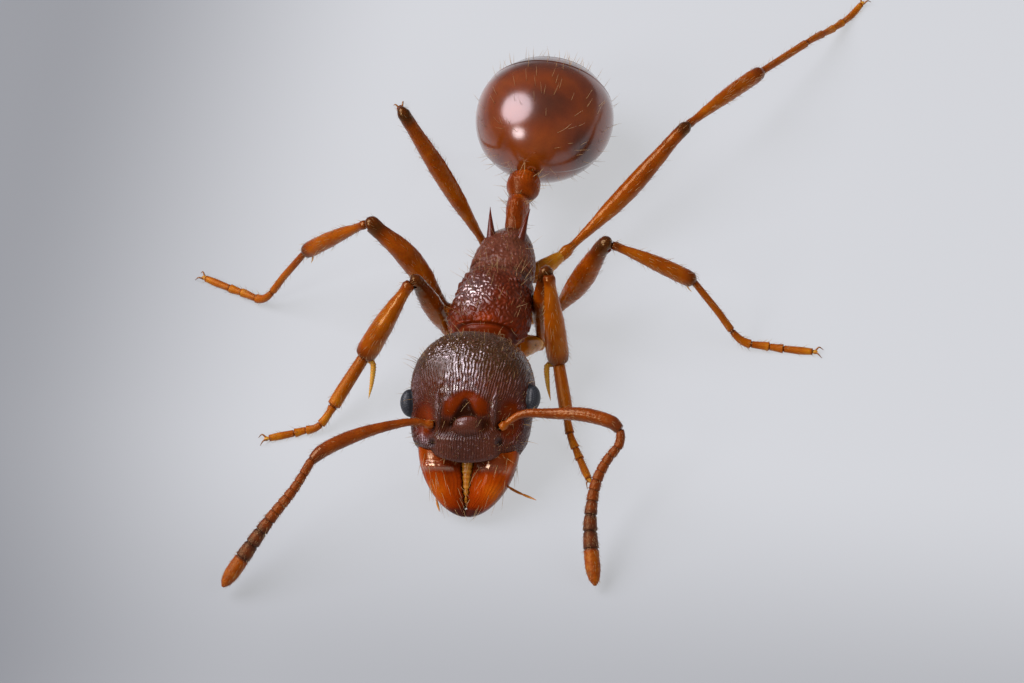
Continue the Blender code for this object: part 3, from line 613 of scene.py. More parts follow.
def mandible_shape(side_name, rings=170, sides=150):
    """Rings across the blade from its root to its tip. The outer edge follows a power curve,
    the inner edge is straight with teeth, and the height shrinks to a point."""
    share = np.minimum(np.linspace(0, 1, rings) ** 0.9, 0.992)
    outer = MANDIBLE_HALF_WIDTH * (1 - share**1.5) ** 0.52
    inner = 0.003 + MANDIBLE_PARTING * (1 - share)
    width = np.maximum((outer - inner) / 2, 0.010)
    height = MANDIBLE_HALF_HEIGHT * np.sqrt(1 - share**2) + 0.015
    angle = turns(sides, crowding=0.3)
    grid = ovals(np.zeros(rings), width, height, height, angle, 2.5)
    blade_x, along = grid[..., 0] / width[:, None], share[:, None]
    grid[..., 0] += (inner + width)[:, None]
    toothed = ease(along, 0.10, 0.25) * ease(blade_x, -0.80, -0.98)
    tooth = np.clip(1 - np.abs(along * TEETH % 1 - 0.45) / 0.45, 0, 1) * toothed
    grid[..., 0] -= TOOTH_LENGTH * (0.6 + along) * tooth
    grid[..., 1] = (MANDIBLE_ROOT - along * (MANDIBLE_REACH + 0.042)
                    - (1 - along) ** 3 * front_edge(grid[..., 0]))
    grid[..., 2] += 0.02 - 0.05 * along

    # The upper face dips along the inner edge, and the outer side has long shallow grooves
    top = ease(np.sin(angle), 0.0, 0.5)[None, :]
    grid[..., 2] -= JAW_DIP * top * mound(blade_x, along, -0.62, 0.30, 0.5, 0.45)
    fold = streak(along - 0.22 - 0.05 * blade_x, 0.06) * ease(blade_x, -0.9, -0.5)
    grid[..., 2] += JAW_FOLD_HEIGHT[side_name] * top * fold
    groove = np.cos(blade_x * 30 + 6 * along + 2 * wander(grid, 0.2, 21))
    grid = grid + outward(grid) * (JAW_GROOVE_DEPTH * groove * top * ease(along, 0.08, 0.3)
                                   * ease(along, 1.0, 0.8))[..., None]

    tone = (0.68 - 0.30 * ease(along, 0.45, 0.05) * ease(blade_x, 0.3, -0.7) + 0.10 * blade_x
            - 0.65 * ease(along, 0.82, 0.97) + 0.1 * wander(grid, 0.25, 22))
    edge = ease(blade_x, -0.88, -0.985) * ease(along, 0.08, 0.2)
    shade = np.clip(0.85 * edge + 0.8 * tooth, 0, 0.9)
    # Painted shade along the outer edge, where the blade rounds away from the light
    shade = np.maximum(shade, 0.55 * ease(blade_x, 0.84, 1.0) * ease(along, 1.0, 0.8))
    # Painted shade at the blade's root, under the edge of the clypeus
    shade = np.maximum(shade, JAW_ROOT_SHADE[side_name] * ease(along, 0.36, 0.16)
                       * ease(blade_x, 0.9, 0.5))
    sheen = (0.2 + 5.0 * fold * ease(blade_x, 0.95, 0.7) * ease(along, 0.02, 0.1)
             + 1.6 * mound(blade_x, along, 0.25, 0.12, 0.5, 0.10))
    patterns = {"tone": np.clip(tone, 0.02, 0.95), "shade": shade, "sheen": sheen}
    return grid * [SIDES[side_name], 1, 1], patterns


mandible_finish = cuticle("amber_jaw", MANDIBLE_COLOURS, roughness=0.20, mottle=0.07,
                          mottle_size=0.10, grain=0.3, coat=0.40, coat_roughness=0.15,
                          depth=0.08, glow=0.25, gloss=0.4, tint=JAW_SHINE, uneven_sheen=True)
mandible_grids = {}
for side_name in SIDES:
    blade_grid, blade_patterns = mandible_shape(side_name)
    mandible_grids[side_name] = placed(HEAD, blade_grid)
    surface(f"mandible_{side_name}_blade", mandible_grids[side_name], mandible_finish,
            "mandible", f"mandible_{side_name}", patterns=blade_patterns)

# ---- Mouth ------------------------------------------------------------------------------
# Between and under the mandibles lie the soft mouthparts: a golden yellow lip down the middle,
# and two thin jointed palps that stick out on either side.

LIP_START, LIP_END, LIP_HALF_WIDTH, LIP_HALF_HEIGHT = -0.45, -0.93, 0.064, 0.06
LIP_DROP, LIP_FOLDS = 0.03, 11
PALPS = {
    "right": ((-0.165, -2.07, 0.10), (-0.26, -2.33, 0.04), (-0.21, -2.52, 0.05)),
    "left": ((0.115, -2.06, 0.12), (0.35, -2.24, 0.09), (0.60, -2.37, 0.12)),
}
PALP_RADIUS, PALP_JOINTS = 0.013, 4
GOLDEN = ((0.0, (0.20, 0.045, 0.003)), (0.5, (0.42, 0.15, 0.010)), (1.0, (0.62, 0.30, 0.045)))


def lip_shape(rings=60, sides=40):
    """A narrow tongue that tapers forward, beaded across in low folds."""
    share = np.linspace(0.01, 0.99, rings)
    taper = (1 - share**3) ** 0.5 * np.minimum(1, (share * 8) ** 0.5)
    folds = np.cos(share * 2 * math.pi * LIP_FOLDS)
    taper_with_folds = taper * (1 + 0.03 * folds)
    grid = ovals(LIP_START + (LIP_END - LIP_START) * share,
                 LIP_HALF_WIDTH * taper_with_folds * (1 - 0.5 * share),
                 LIP_HALF_HEIGHT * taper_with_folds, LIP_HALF_HEIGHT * taper, turns(sides), 2.2)
    grid[..., 2] += LIP_DROP - 0.04 * share[:, None]
    # Painted shade: darker in the creases between the folds and at the root, under the mandibles
    return grid, {"tone": 0.50 + 0.12 * folds[:, None],
                  "shade": 0.3 * ease(share, 0.3, 0.0)[:, None]}


def smooth_line(points, count):
    """Catmull-Rom line through the points, at count + 1 equally spaced parameters."""
    points = np.array(points, float)
    ends = np.concatenate([[2 * points[0] - points[1]], points, [2 * points[-1] - points[-2]]])
    along = np.linspace(0, len(points) - 1, count + 1)
    first = np.minimum(along.astype(int), len(points) - 2)
    t = (along - first)[:, None]
    a, b, c, d = (ends[first + k] for k in range(4))
    return 0.5 * (2 * b + (c - a) * t + (2 * a - 5 * b + 4 * c - d) * t**2
                  + (3 * b - a - 3 * c + d) * t**3)


def at_shares(line, shares):
    """Points of a line at shares of its length."""
    length = np.concatenate([[0], np.cumsum(np.linalg.norm(np.diff(line, axis=0), axis=1))])
    return np.stack([np.interp(np.asarray(shares) * length[-1], length, line[:, k])
                     for k in range(3)], axis=1)


def through(table, at):
    """A smooth curve through (place, value) rows, at the places asked for: cubic pieces whose
    slopes are the neighbours' harmonic mean, and 0 at a peak, so that it never overshoots."""
    place, value = np.array(table, float).T
    step = np.diff(place)
    rise = np.diff(value) / step
    before, after = rise[:-1], rise[1:]
    same_way = before * after > 0
    total = np.where(same_way, before + after, 1.0)
    slope = np.concatenate([[rise[0]], np.where(same_way, 2 * before * after / total, 0.0),
                            [rise[-1]]])
    k = np.clip(np.searchsorted(place, at, side="right") - 1, 0, len(step) - 1)
    t = (at - place[k]) / step[k]
    return (value[k] * (1 + 2 * t) * (1 - t) ** 2 + slope[k] * step[k] * t * (1 - t) ** 2
            + value[k + 1] * t * t * (3 - 2 * t) + slope[k + 1] * step[k] * t * t * (t - 1))


def tube(line, radius, sides, flatness=1.0):
    """Rings of a given radius across each point of a line. Across lies level, and up stands
    square to it and to the line; flatness is a ring's height over its width."""
    ahead = np.gradient(line, axis=0)
    ahead /= np.linalg.norm(ahead, axis=1, keepdims=True)
    across = np.cross(ahead, [0, 0, 1.0])
    across /= np.maximum(np.linalg.norm(across, axis=1, keepdims=True), 1e-9)
    up = np.cross(across, ahead)
    angle = turns(sides)
    return line[:, None] + np.asarray(radius)[:, None, None] * (
        np.cos(angle)[None, :, None] * across[:, None]
        + flatness * np.sin(angle)[None, :, None] * up[:, None])


golden_skin = cuticle("golden_mouthparts", GOLDEN, roughness=0.35, mottle=0.15, mottle_size=0.03,
                      grain=0.2, coat=0.2, depth=0.04, glow=0.3)
lip_grid, lip_patterns = lip_shape()
surface("lip", placed(HEAD, lip_grid), golden_skin, "palp", patterns=lip_patterns)
share = np.linspace(0.0, 1.0, 70)
pinched = streak((share * PALP_JOINTS + 0.5) % 1 - 0.5, 0.10)
palp_radius = PALP_RADIUS * (1 - 0.30 * pinched) * through(
    ((0, 0.6), (0.1, 1), (0.85, 0.8), (1, 0.25)), share)
for side_name in SIDES:
    palp_line = at_shares(smooth_line(PALPS[side_name], 60), share)
    surface(f"palp_{side_name}_rod", tube(palp_line, palp_radius, 16), golden_skin, "palp",
            f"palp_{side_name}", patterns={"tone": 0.6 - 0.09 * pinched[:, None], "shade": 0.0})

# ---- Antennae ---------------------------------------------------------------------------
# Hollow elbowed rods of amber shell. A long smooth scape turns in a ball socket on the face,
# and the funiculus beyond the elbow is a string of eleven bead-like joints, downy, that swell
# into a club with dark bands and a pointed last joint.

SCAPES = {
    "right": ((-0.46, -2.16, 0.77), (-0.77, -2.30, 0.79), (-1.02, -2.46, 0.79),
              (-1.19, -2.61, 0.78)),
    "left": ((0.47, -1.99, 0.78), (0.74, -1.97, 0.80), (0.97, -1.97, 0.82),
             (1.16, -2.00, 0.82), (1.31, -2.04, 0.80)),
}
FUNICULI = {
    "right": ((-1.215, -2.665, 0.755), (-1.32, -2.86, 0.65), (-1.49, -3.06, 0.50),
              (-1.63, -3.25, 0.37), (-1.86, -3.56, 0.13)),
    "left": ((1.335, -2.09, 0.765), (1.32, -2.17, 0.71), (1.22, -2.29, 0.61),
             (1.15, -2.46, 0.50), (1.14, -2.71, 0.36), (1.18, -2.96, 0.22), (1.24, -3.19, 0.09)),
}
# Radius at shares of the length
SCAPE = ((0.0, 0.036), (0.03, 0.040), (0.07, 0.026), (0.12, 0.029), (0.4, 0.043), (0.75, 0.060),
         (0.93, 0.058), (1.0, 0.042))
FUNICULUS = ((0.0, 0.034), (0.04, 0.038), (0.1, 0.038), (0.3, 0.044), (0.5, 0.050), (0.62, 0.057),
             (0.75, 0.063), (0.88, 0.064), (0.96, 0.045), (1.0, 0.012))
# Where each joint of the funiculus ends, as a share of its length
JOINT_ENDS = (0.0, 0.115, 0.175, 0.232, 0.29, 0.35, 0.412, 0.48, 0.565, 0.665, 0.775, 1.0)
ELBOW_REACH = {"left": 0.50, "right": 0.60}  # how far each funiculus reaches into its elbow
ANTENNA_SHINE = (1.0, 0.65, 0.30)
ANTENNA_COLOURS = (
    (0.0, (0.055, 0.015, 0.009)), (0.3, (0.105, 0.023, 0.007)), (0.55, (0.175, 0.029, 0.002)),
    (0.8, (0.25, 0.048, 0.002)), (1.0, (0.38, 0.11, 0.006)),
)


def antenna_start(side):
    """The ball of the scape, in its socket on the face."""
    width, above, _ = head_section(np.array([SOCKET_Y]))
    rise = above[0] * (1 - (SOCKET_X / width[0]) ** HEAD_BOXINESS) ** (1 / HEAD_BOXINESS)
    lift = face_relief(np.array([SOCKET_X]), np.array([SOCKET_Y]))[0] + 0.035
    return placed(HEAD, np.array([side * SOCKET_X, SOCKET_Y, rise + lift]))


def scape_shape(side_name, rings=150, sides=36):
    """A tube from the socket to the elbow with a ball at its root and faint long ridges."""
    start = antenna_start(SIDES[side_name])
    share = np.linspace(0.0, 1.0, rings)
    line = at_shares(smooth_line((start, *SCAPES[side_name]), 120), share)
    elbow = np.array(FUNICULI[side_name][0]) - line[-1]
    line = line + 0.55 * elbow * ease(share, 0.93, 1.0)[:, None]
    grid = tube(line, through(SCAPE, share), sides)
    grid = grid + outward(grid) * (0.0008 * wander(grid * [1, 1, 2], 0.03, 31))[..., None]
    tone = 0.62 - 0.14 * ease(share, 0.85, 1.0) + 0.2 * ease(share, 0.25, 0.0)
    return grid, {"tone": tone[:, None] + 0.05 * wander(grid, 0.15, 32),
                  "shade": 0.25 * ease(share, 0.95, 1.0)[:, None]}


def within_joints(share, ends):
    """Which joint each share of the length falls in, and how far along that joint it is."""
    ends = np.array(ends)
    number = np.clip(np.searchsorted(ends, share, side="right") - 1, 0, len(ends) - 2)
    return number, (share - ends[number]) / (ends[number + 1] - ends[number])


def funiculus_shape(side_name, rings=300, sides=40):
    """A tube pinched at every joint, each bead widest beyond its middle, with a smooth point."""
    share = np.linspace(0.0, 1.0, rings)
    start, scape_end = np.array(FUNICULI[side_name][0]), np.array(SCAPES[side_name][-1])
    start = start + ELBOW_REACH[side_name] * (scape_end - start)
    line = at_shares(smooth_line((start, *FUNICULI[side_name][1:]), 160), share)
    number, within = within_joints(share, JOINT_ENDS)
    last = number == len(JOINT_ENDS) - 2
    closing = np.where(last, ease(within, 0.0, 0.06),
                       np.minimum(ease(within, 0, 0.16), ease(within, 1.0, 0.93)))
    bead = (0.86 + 0.14 * closing) * np.where(last, 1, 0.96 + 0.07 * within)
    grid = tube(line, through(FUNICULUS, share) * bead, sides)
    grid = grid + outward(grid) * (0.0010 * wander(grid, 0.02, 33))[..., None]
    club = ease(share, 0.42, 0.6)
    band = (1 - closing) * (1 - last)
    dusky = club * np.where(last, ease(within, 0.10, 0.0),
                            0.75 + 0.25 * np.cos(2 * math.pi * within))
    tone = 0.68 - 0.62 * dusky - 0.14 * (1 - club) + 0.12 * last
    shade = 0.45 * band + 0.15 * dusky * (1 - last) + 0.15 * ease(share, 0.02, 0.0)
    return grid, {"tone": tone[:, None] + 0.04 * wander(grid, 0.08, 34), "shade": shade[:, None]}


scape_finish = cuticle("scape_shell", ANTENNA_COLOURS, roughness=0.24, mottle=0.07,
                       mottle_size=0.05, grain=0.3, coat=0.1, coat_roughness=0.12, depth=0.05,
                       glow=0.2, gloss=0.5, tint=ANTENNA_SHINE)
downy_finish = cuticle("funiculus_shell", ANTENNA_COLOURS, roughness=0.42, mottle=0.10,
                       mottle_size=0.03, grain=0.7, grain_size=0.008, coat=0.0, depth=0.05,
                       glow=0.18, gloss=0.4, tint=ANTENNA_SHINE)
antenna_grids = {}
for side_name in SIDES:
    for joint, shape, finish in (("scape", scape_shape, scape_finish),
                                 ("funiculus", funiculus_shape, downy_finish)):
        rod_grid, rod_patterns = shape(side_name)
        antenna_grids[joint, side_name] = rod_grid
        surface(f"{joint}_{side_name}_rod", rod_grid, finish, "antenna", f"{joint}_{side_name}",
                patterns=rod_patterns)

# ---- Trunk ------------------------------------------------------------------------------
# The hard middle box of the body, red-brown with a mauve sheen and coarsely wrinkled: the
# collar and rounded pronotum in front, a groove across the back, and the flatter propodeum
# behind it with two backward spines. A short neck joins it to the head.

TRUNK_FRONT = (-0.01, -1.225, 0.665)
TRUNK_TILT, TRUNK_ROLL = -4.0, -2.0
TRUNK_LENGTH = 1.40
# Along the trunk: half width, height above and depth below its middle line
TRUNK_WIDTH = (
    (0.0, 0.075), (0.05, 0.11), (0.12, 0.24), (0.21, 0.33), (0.33, 0.35), (0.47, 0.33),
    (0.61, 0.325), (0.73, 0.30), (0.82, 0.276), (0.91, 0.275), (1.03, 0.262), (1.16, 0.228),
    (1.27, 0.185), (1.36, 0.135), (1.40, 0.10),
)
TRUNK_ABOVE = (
    (0.0, 0.05), (0.05, 0.08), (0.12, 0.16), (0.21, 0.215), (0.33, 0.245), (0.47, 0.26),
    (0.61, 0.25), (0.73, 0.215), (0.815, 0.155), (0.86, 0.160), (0.93, 0.178), (1.03, 0.185),
    (1.16, 0.18), (1.27, 0.13), (1.36, 0.06), (1.40, 0.03),
)
TRUNK_BELOW = (
    (0.0, 0.07), (0.05, 0.12), (0.12, 0.17), (0.21, 0.185), (0.47, 0.20), (0.73, 0.225),
    (0.91, 0.225), (1.03, 0.22), (1.16, 0.205), (1.27, 0.185), (1.36, 0.145), (1.40, 0.11),
)
TRUNK_WRINKLE = 0.034  # from one ridge to the next
TRUNK_CREST, TRUNK_NET = 0.0006, 0.0065  # heights of the ridges and of the net over them
COLLAR_Y, BACK_GROOVE_Y = 0.125, 0.815
SEAM_DEPTH, GLAND_HEIGHT = 0.018, 0.03
SPINE_ROOT, SPINE_TIP = (0.125, 1.15, 0.11), (0.175, 1.44, 0.235)
SPINE_RADIUS, SPINE_ARCH = 0.036, 0.020
NECK_FOLDS = 5
TRUNK_COLOURS = (
    (0.0, (0.055, 0.014, 0.003)), (0.2, (0.115, 0.034, 0.018)), (0.45, (0.070, 0.012, 0.004)),
    (0.75, (0.105, 0.012, 0.001)), (1.0, (0.20, 0.024, 0.001)),
)
TRUNK_SHINE = (1.0, 0.75, 0.75)
TRUNK = moved(TRUNK_FRONT) @ turned(TRUNK_TILT, "X") @ turned(TRUNK_ROLL, "Y")


def trunk_shape(rings=290, sides=340):
    """Ovals along the trunk with netted ridges raised on them, and grooves where the plates
    meet: round behind the collar, across the back, and slanting down each side."""
    share = np.linspace(0, 1, rings)
    y = TRUNK_LENGTH * (share - 0.03 * np.sin(2 * math.pi * share))
    angle = turns(sides, crowding=0.35)
    grid = ovals(y, through(TRUNK_WIDTH, y), through(TRUNK_ABOVE, y), through(TRUNK_BELOW, y),
                 angle, 2.3)
    x, ring_y, z = grid[..., 0], grid[..., 1], grid[..., 2]
    side = ease(np.abs(x), 0.10, 0.18) * ease(np.abs(np.cos(angle))[None, :], 0.5, 0.8)
    collar = streak(ring_y - COLLAR_Y - 0.05 * z, 0.012)
    pleural = side * (streak(ring_y - 0.50 - 0.55 * z, 0.013)
                      + streak(ring_y - 0.86 - 0.25 * z, 0.013)
                      + 0.6 * streak(z + 0.075 + 0.15 * (ring_y - 0.6), 0.012)
                      * ease(ring_y, 0.5, 0.56) * ease(ring_y, 0.86, 0.8))
    gland = side * mound(ring_y, z, 1.22, -0.12, 0.13, 0.09)
    grooves = SEAM_DEPTH * np.clip(collar + pleural, 0, 1) - GLAND_HEIGHT * gland

    across = round_length(grid, sides // 2)
    wavy = wander(grid, 0.20, 41) + 0.9 * wander(grid, 0.05, 42)
    phase = 2 * math.pi * across / TRUNK_WRINKLE + 3.2 * wavy
    smooth_front = ease(ring_y, 0.10, 0.17)
    declivity = ease(ring_y, 1.30, 1.22)
    beneath = ease(np.sin(angle), -0.8, -0.5)[None, :]
    depth = smooth_front * beneath * (0.35 + 0.65 * declivity) * (1 - 0.8 * np.clip(collar, 0, 1))
    crest = depth * (0.5 + 0.5 * np.cos(phase))
    netting = np.abs(wander(grid, 0.055, 43)) * depth * (1 - 0.45 * ease(ring_y, 0.7, 0.85))
    relief = TRUNK_CREST * crest + TRUNK_NET * netting - grooves
    grid = grid + outward(grid) * relief[..., None]

    front = ease(ring_y, 0.30, 0.12)
    tone = (0.44 + 0.42 * front + 0.22 * mound(x, ring_y, 0.05, 0.32, 0.22, 0.24)
            - 0.24 * ease(ring_y, 0.62, 0.85)
            + 0.10 * ease(z, -0.02, -0.16) + 0.06 * wander(grid, 0.22, 44))
    olive = mound(np.abs(x), ring_y, 0.24, 0.74, 0.10, 0.10)
    shade = np.clip(0.6 * np.clip(collar * 0.6 + pleural, 0, 1) + 0.30 * olive
                    + 0.45 * streak(ring_y - BACK_GROOVE_Y, 0.022)
                    + 0.5 * ease(ring_y, 1.34, 1.39) - 0.35 * netting, -0.4, 0.85)
    sheen = 0.22 + 3.8 * mound(x, ring_y, -0.13, 0.44, 0.22, 0.26) + 0.20 * ease(ring_y, 0.9, 1.0)
    return grid, {"tone": tone - 0.3 * olive, "shade": shade, "ridge_phase": phase,
                  "ridge_depth": 0.4 * depth, "sheen": sheen}


trunk_shell = cuticle("trunk_shell", TRUNK_COLOURS, roughness=0.30, mottle=0.12,
                      mottle_size=0.06, grain=0.7, grain_size=0.020, ridges=0.0020, furrow_shade=0.10,
                      coat=0.60, coat_roughness=0.13, depth=0.03, glow=0.06, gloss=0.5,
                      tint=TRUNK_SHINE, uneven_sheen=True)
trunk_grid, trunk_patterns = trunk_shape()
surface("trunk_box", placed(TRUNK, trunk_grid), trunk_shell, "trunk", "pronotum", "propodeum",
        patterns=trunk_patterns)
share = np.linspace(0, 1, 60)
spine_radius = SPINE_RADIUS * (1.25 * (1 - share) ** 1.25 + 0.07)
for side_name, side in SIDES.items():
    root, tip = np.array(SPINE_ROOT) * [side, 1, 1], np.array(SPINE_TIP) * [side, 1, 1]
    thorn = root + (tip - root) * share[:, None]
    thorn[:, 2] += SPINE_ARCH * np.sin(math.pi * share)
    surface(f"spine_{side_name}", placed(TRUNK, tube(thorn, spine_radius, 28)), trunk_shell,
            "trunk", patterns={"tone": (0.45 + 0.35 * share)[:, None], "shade": 0.0,
                               "ridge_phase": 0.0, "ridge_depth": 0.0, "sheen": 0.5})

NECK_IN_HEAD = placed(HEAD, np.array([0.0, 0.38, -0.16]))
NECK_IN_TRUNK = placed(TRUNK, np.array([0.0, 0.10, -0.01]))
share = np.linspace(0, 1, 50)
neck_line = smooth_line((NECK_IN_HEAD, (NECK_IN_HEAD + NECK_IN_TRUNK) / 2, NECK_IN_TRUNK), 49)
neck_fold = np.cos(share * 2 * math.pi * NECK_FOLDS)
neck_radius = 0.085 + 0.012 * neck_fold + 0.02 * share
# Painted shade in the creases between the neck's folds
surface("neck", tube(neck_line, neck_radius, 60), trunk_shell, "trunk",
        patterns={"tone": 0.8, "shade": 0.3 - 0.2 * neck_fold[:, None],
                  "ridge_phase": 0.0, "ridge_depth": 0.0, "sheen": 0.4})

# ---- Waist ------------------------------------------------------------------------------
# Two small knots of orange-red shell, finely wrinkled, link the trunk to the gaster. The
# petiole has a stalk in front and a blunt upright node, and the postpetiole is rounder.

# At places along the trunk's y: half width, height above and depth below its middle line
PETIOLE_WIDTH = ((1.37, 0.062), (1.41, 0.068), (1.47, 0.078), (1.54, 0.08), (1.61, 0.092),
                 (1.68, 0.094), (1.75, 0.085), (1.80, 0.072))
PETIOLE_ABOVE = ((1.37, 0.03), (1.41, 0.04), (1.47, 0.06), (1.54, 0.12), (1.61, 0.17),
                 (1.68, 0.16), (1.75, 0.09), (1.80, 0.055))
PETIOLE_BELOW = ((1.37, 0.065), (1.41, 0.075), (1.54, 0.09), (1.68, 0.095), (1.80, 0.07))
POSTPETIOLE_WIDTH = ((1.77, 0.07), (1.79, 0.08), (1.84, 0.115), (1.91, 0.142), (1.98, 0.14),
                     (2.04, 0.115), (2.09, 0.09))
POSTPETIOLE_ABOVE = ((1.77, 0.05), (1.79, 0.06), (1.84, 0.115), (1.91, 0.16), (1.98, 0.15),
                     (2.04, 0.10), (2.09, 0.07))
POSTPETIOLE_BELOW = ((1.77, 0.07), (1.79, 0.08), (1.84, 0.11), (1.91, 0.13), (1.98, 0.13),
                     (2.04, 0.11), (2.09, 0.09))
KNOT_WRINKLE = 0.030  # from one ridge to the next
KNOT_CREST, KNOT_NET = 0.0010, 0.0016  # heights of the ridges and of the net over them
WAIST_COLOURS = (
    (0.0, (0.070, 0.013, 0.002)), (0.4, (0.15, 0.021, 0.001)), (0.7, (0.23, 0.036, 0.0010)),
    (1.0, (0.33, 0.070, 0.003)),
)
WAIST_SHINE = (1.0, 0.6, 0.3)


def knot_shape(width, above, below, seed, rings=130, sides=170):
    """Ovals along a knot of the waist with low lengthwise wrinkles."""
    start, end = width[0][0], width[-1][0]
    y = np.linspace(start, end, rings)
    grid = ovals(y, through(width, y), through(above, y), through(below, y),
                 turns(sides, crowding=0.25), 2.15)
    across = round_length(grid, sides // 2)
    phase = 2 * math.pi * across / KNOT_WRINKLE + 2.2 * wander(grid, 0.12, seed)
    share = (y - start) / (end - start)
    depth = (ease(share, 0.25, 0.45) * ease(share, 0.98, 0.85))[:, None]
    crest = depth * (0.5 + 0.5 * np.cos(phase))
    rough = np.abs(wander(grid, 0.05, seed + 1)) * depth
    grid = grid + outward(grid) * (KNOT_CREST * crest + KNOT_NET * rough)[..., None]
    ends = ease(share, 0.16, 0.0) + ease(share, 0.9, 1.0)
    tone = 0.62 + 0.12 * wander(grid, 0.15, seed + 2)
    return grid, {"tone": tone, "shade": 0.55 * ends[:, None] - 0.1 * rough,
                  "ridge_phase": phase, "ridge_depth": depth}


waist_shell = cuticle("waist_shell", WAIST_COLOURS, roughness=0.30, mottle=0.12,
                      mottle_size=0.05, grain=0.4, grain_size=0.012, ridges=0.0012, furrow_shade=0.12,
                      coat=0.05, coat_roughness=0.15, depth=0.05, glow=0.15, gloss=0.3,
                      tint=WAIST_SHINE)
waist_grids = {}
for knot, tables in {"petiole": (PETIOLE_WIDTH, PETIOLE_ABOVE, PETIOLE_BELOW, 51),
                     "postpetiole": (POSTPETIOLE_WIDTH, POSTPETIOLE_ABOVE, POSTPETIOLE_BELOW,
                                     61)}.items():
    knot_grid, knot_patterns = knot_shape(*tables)
    waist_grids[knot] = placed(TRUNK, knot_grid)
    surface(f"{knot}_knot", waist_grids[knot], waist_shell, "waist", knot,
            patterns=knot_patterns)

# ---- Gaster -----------------------------------------------------------------------------
# The round hind body is cased in overlapping plates of smooth, very glossy red-brown shell.
# The first plate covers more than half of it, each later one slips under the one before, and
# the lower plates meet the upper ones along the sides. A short sting lies at the end.

GASTER_CENTRE = (0.045, 1.41, 0.555)
GASTER_TILT = -6.0
GASTER_HALF_WIDTH = 0.60
GASTER_FRONT, GASTER_WIDEST, GASTER_REAR = -0.575, 0.08, 0.68
GASTER_ABOVE, GASTER_BELOW = 0.52, 0.49
PLATE_ENDS = (0.30, 0.45, 0.565, 0.635)  # along the gaster, where each upper plate ends
PLATE_STEP, PLATE_GROOVE = 0.010, 0.004  # the drop behind each plate's end, and its groove
SEAM_LEVEL, SEAM_STEP = -0.30, 0.008  # the seam along each side, as the sine of its angle
REAR_SHRINK = 0.985
GASTER_COLOURS = (
    (0.0, (0.060, 0.016, 0.006)), (0.25, (0.105, 0.020, 0.003)), (0.5, (0.165, 0.028, 0.001)),
    (0.75, (0.22, 0.042, 0.001)), (1.0, (0.29, 0.065, 0.003)),
)
GASTER_SHINE = (1.0, 0.8, 0.85)
GASTER = moved(GASTER_CENTRE) @ turned(GASTER_TILT, "X")


def gaster_section(y):
    """Half width, height above and depth below of the gaster at each y."""
    ahead = np.clip((GASTER_WIDEST - y) / (GASTER_WIDEST - GASTER_FRONT), 0, 1)
    behind = np.clip((y - GASTER_WIDEST) / (GASTER_REAR - GASTER_WIDEST), 0, 1)
    closing = np.maximum(1 - ahead**2.1, 1e-6) ** 0.5 * np.maximum(1 - behind**2, 1e-6) ** 0.62
    return GASTER_HALF_WIDTH * closing, GASTER_ABOVE * closing, GASTER_BELOW * closing


def gaster_plates(start, end, plate_ends, rings, sides=260):
    """Ovals from start to end. Just behind each plate's end the next one is a step lower, and
    a seam with a step of its own runs along each side between upper and lower plates."""
    share = (1 - np.cos(math.pi * np.linspace(0, 1, rings))) / 2
    y = np.clip(start + (end - start) * share, GASTER_FRONT + 0.001, GASTER_REAR - 0.001)
    angle = turns(sides, crowding=0.25)
    grid = ovals(y, *gaster_section(y), angle, 2.05)
    x, ring_y = grid[..., 0], grid[..., 1]
    lower = ease(np.sin(angle), SEAM_LEVEL, SEAM_LEVEL - 0.06)[None, :]
    step = SEAM_STEP * lower
    rim = 0.5 * streak(np.sin(angle)[None, :] - SEAM_LEVEL, 0.035)
    for plate_end in plate_ends:
        edge = plate_end - 0.02 * (x / GASTER_HALF_WIDTH) ** 2 - 0.04 * lower
        past = ease(ring_y, edge, edge + 0.006)
        step = step + PLATE_STEP * past * ease(ring_y, edge + 0.22, edge + 0.01)
        rim = np.maximum(rim, streak(ring_y - edge + 0.012, 0.014))
        step = step - PLATE_GROOVE * streak(ring_y - edge + 0.006, 0.012)
    away_from_poles = ease(np.abs(x) + np.abs(grid[..., 2]), 0.02, 0.1)
    grid = grid - outward(grid) * (step * away_from_poles)[..., None]
    # The dark patch at the front of the ant's left flank is painted shade, on the side away from
    # the key lamp
    tone = (0.56 + 0.10 * wander(grid, 0.45, 71) - 0.62 * mound(x, ring_y, 0.11, -0.21, 0.30, 0.28)
            - 0.60 * mound(x, ring_y, 0.46, -0.40, 0.22, 0.22)
            - 0.40 * mound(x, ring_y, -0.1, 0.30, 0.7, 0.35)
            + 0.20 * mound(x, ring_y, 0.44, -0.12, 0.16, 0.25)
            + 0.18 * ease(ring_y, -0.35, -0.55) - 0.12 * ease(ring_y, 0.25, 0.5))
    shade = 0.08 * rim + 0.10 * np.abs(wander(grid, 0.2, 72))
    return grid, {"tone": tone, "shade": shade}


gaster_shell = cuticle("gaster_shell", GASTER_COLOURS, roughness=0.17, mottle=0.10,
                       mottle_size=0.16, grain=0.12, grain_size=0.010, coat=1.0,
                       coat_roughness=0.22, depth=0.08, glow=0.10, gloss=0.6,
                       tint=GASTER_SHINE)
gaster_grids = {}
for plate_name, start, end, ends, rings in (
        ("gaster_front", GASTER_FRONT, PLATE_ENDS[0] + 0.002, PLATE_ENDS[:1], 240),
        ("gaster_rear", PLATE_ENDS[0] - 0.03, GASTER_REAR, PLATE_ENDS[1:], 200)):
    plate_grid, plate_patterns = gaster_plates(start, end, ends, rings)
    if plate_name == "gaster_rear":
        plate_grid = plate_grid * [REAR_SHRINK, 1, REAR_SHRINK]
    gaster_grids[plate_name] = placed(GASTER, plate_grid)
    surface(f"{plate_name}_plates", gaster_grids[plate_name], gaster_shell, "gaster",
            plate_name, patterns=plate_patterns)
share = np.linspace(0, 1, 40)
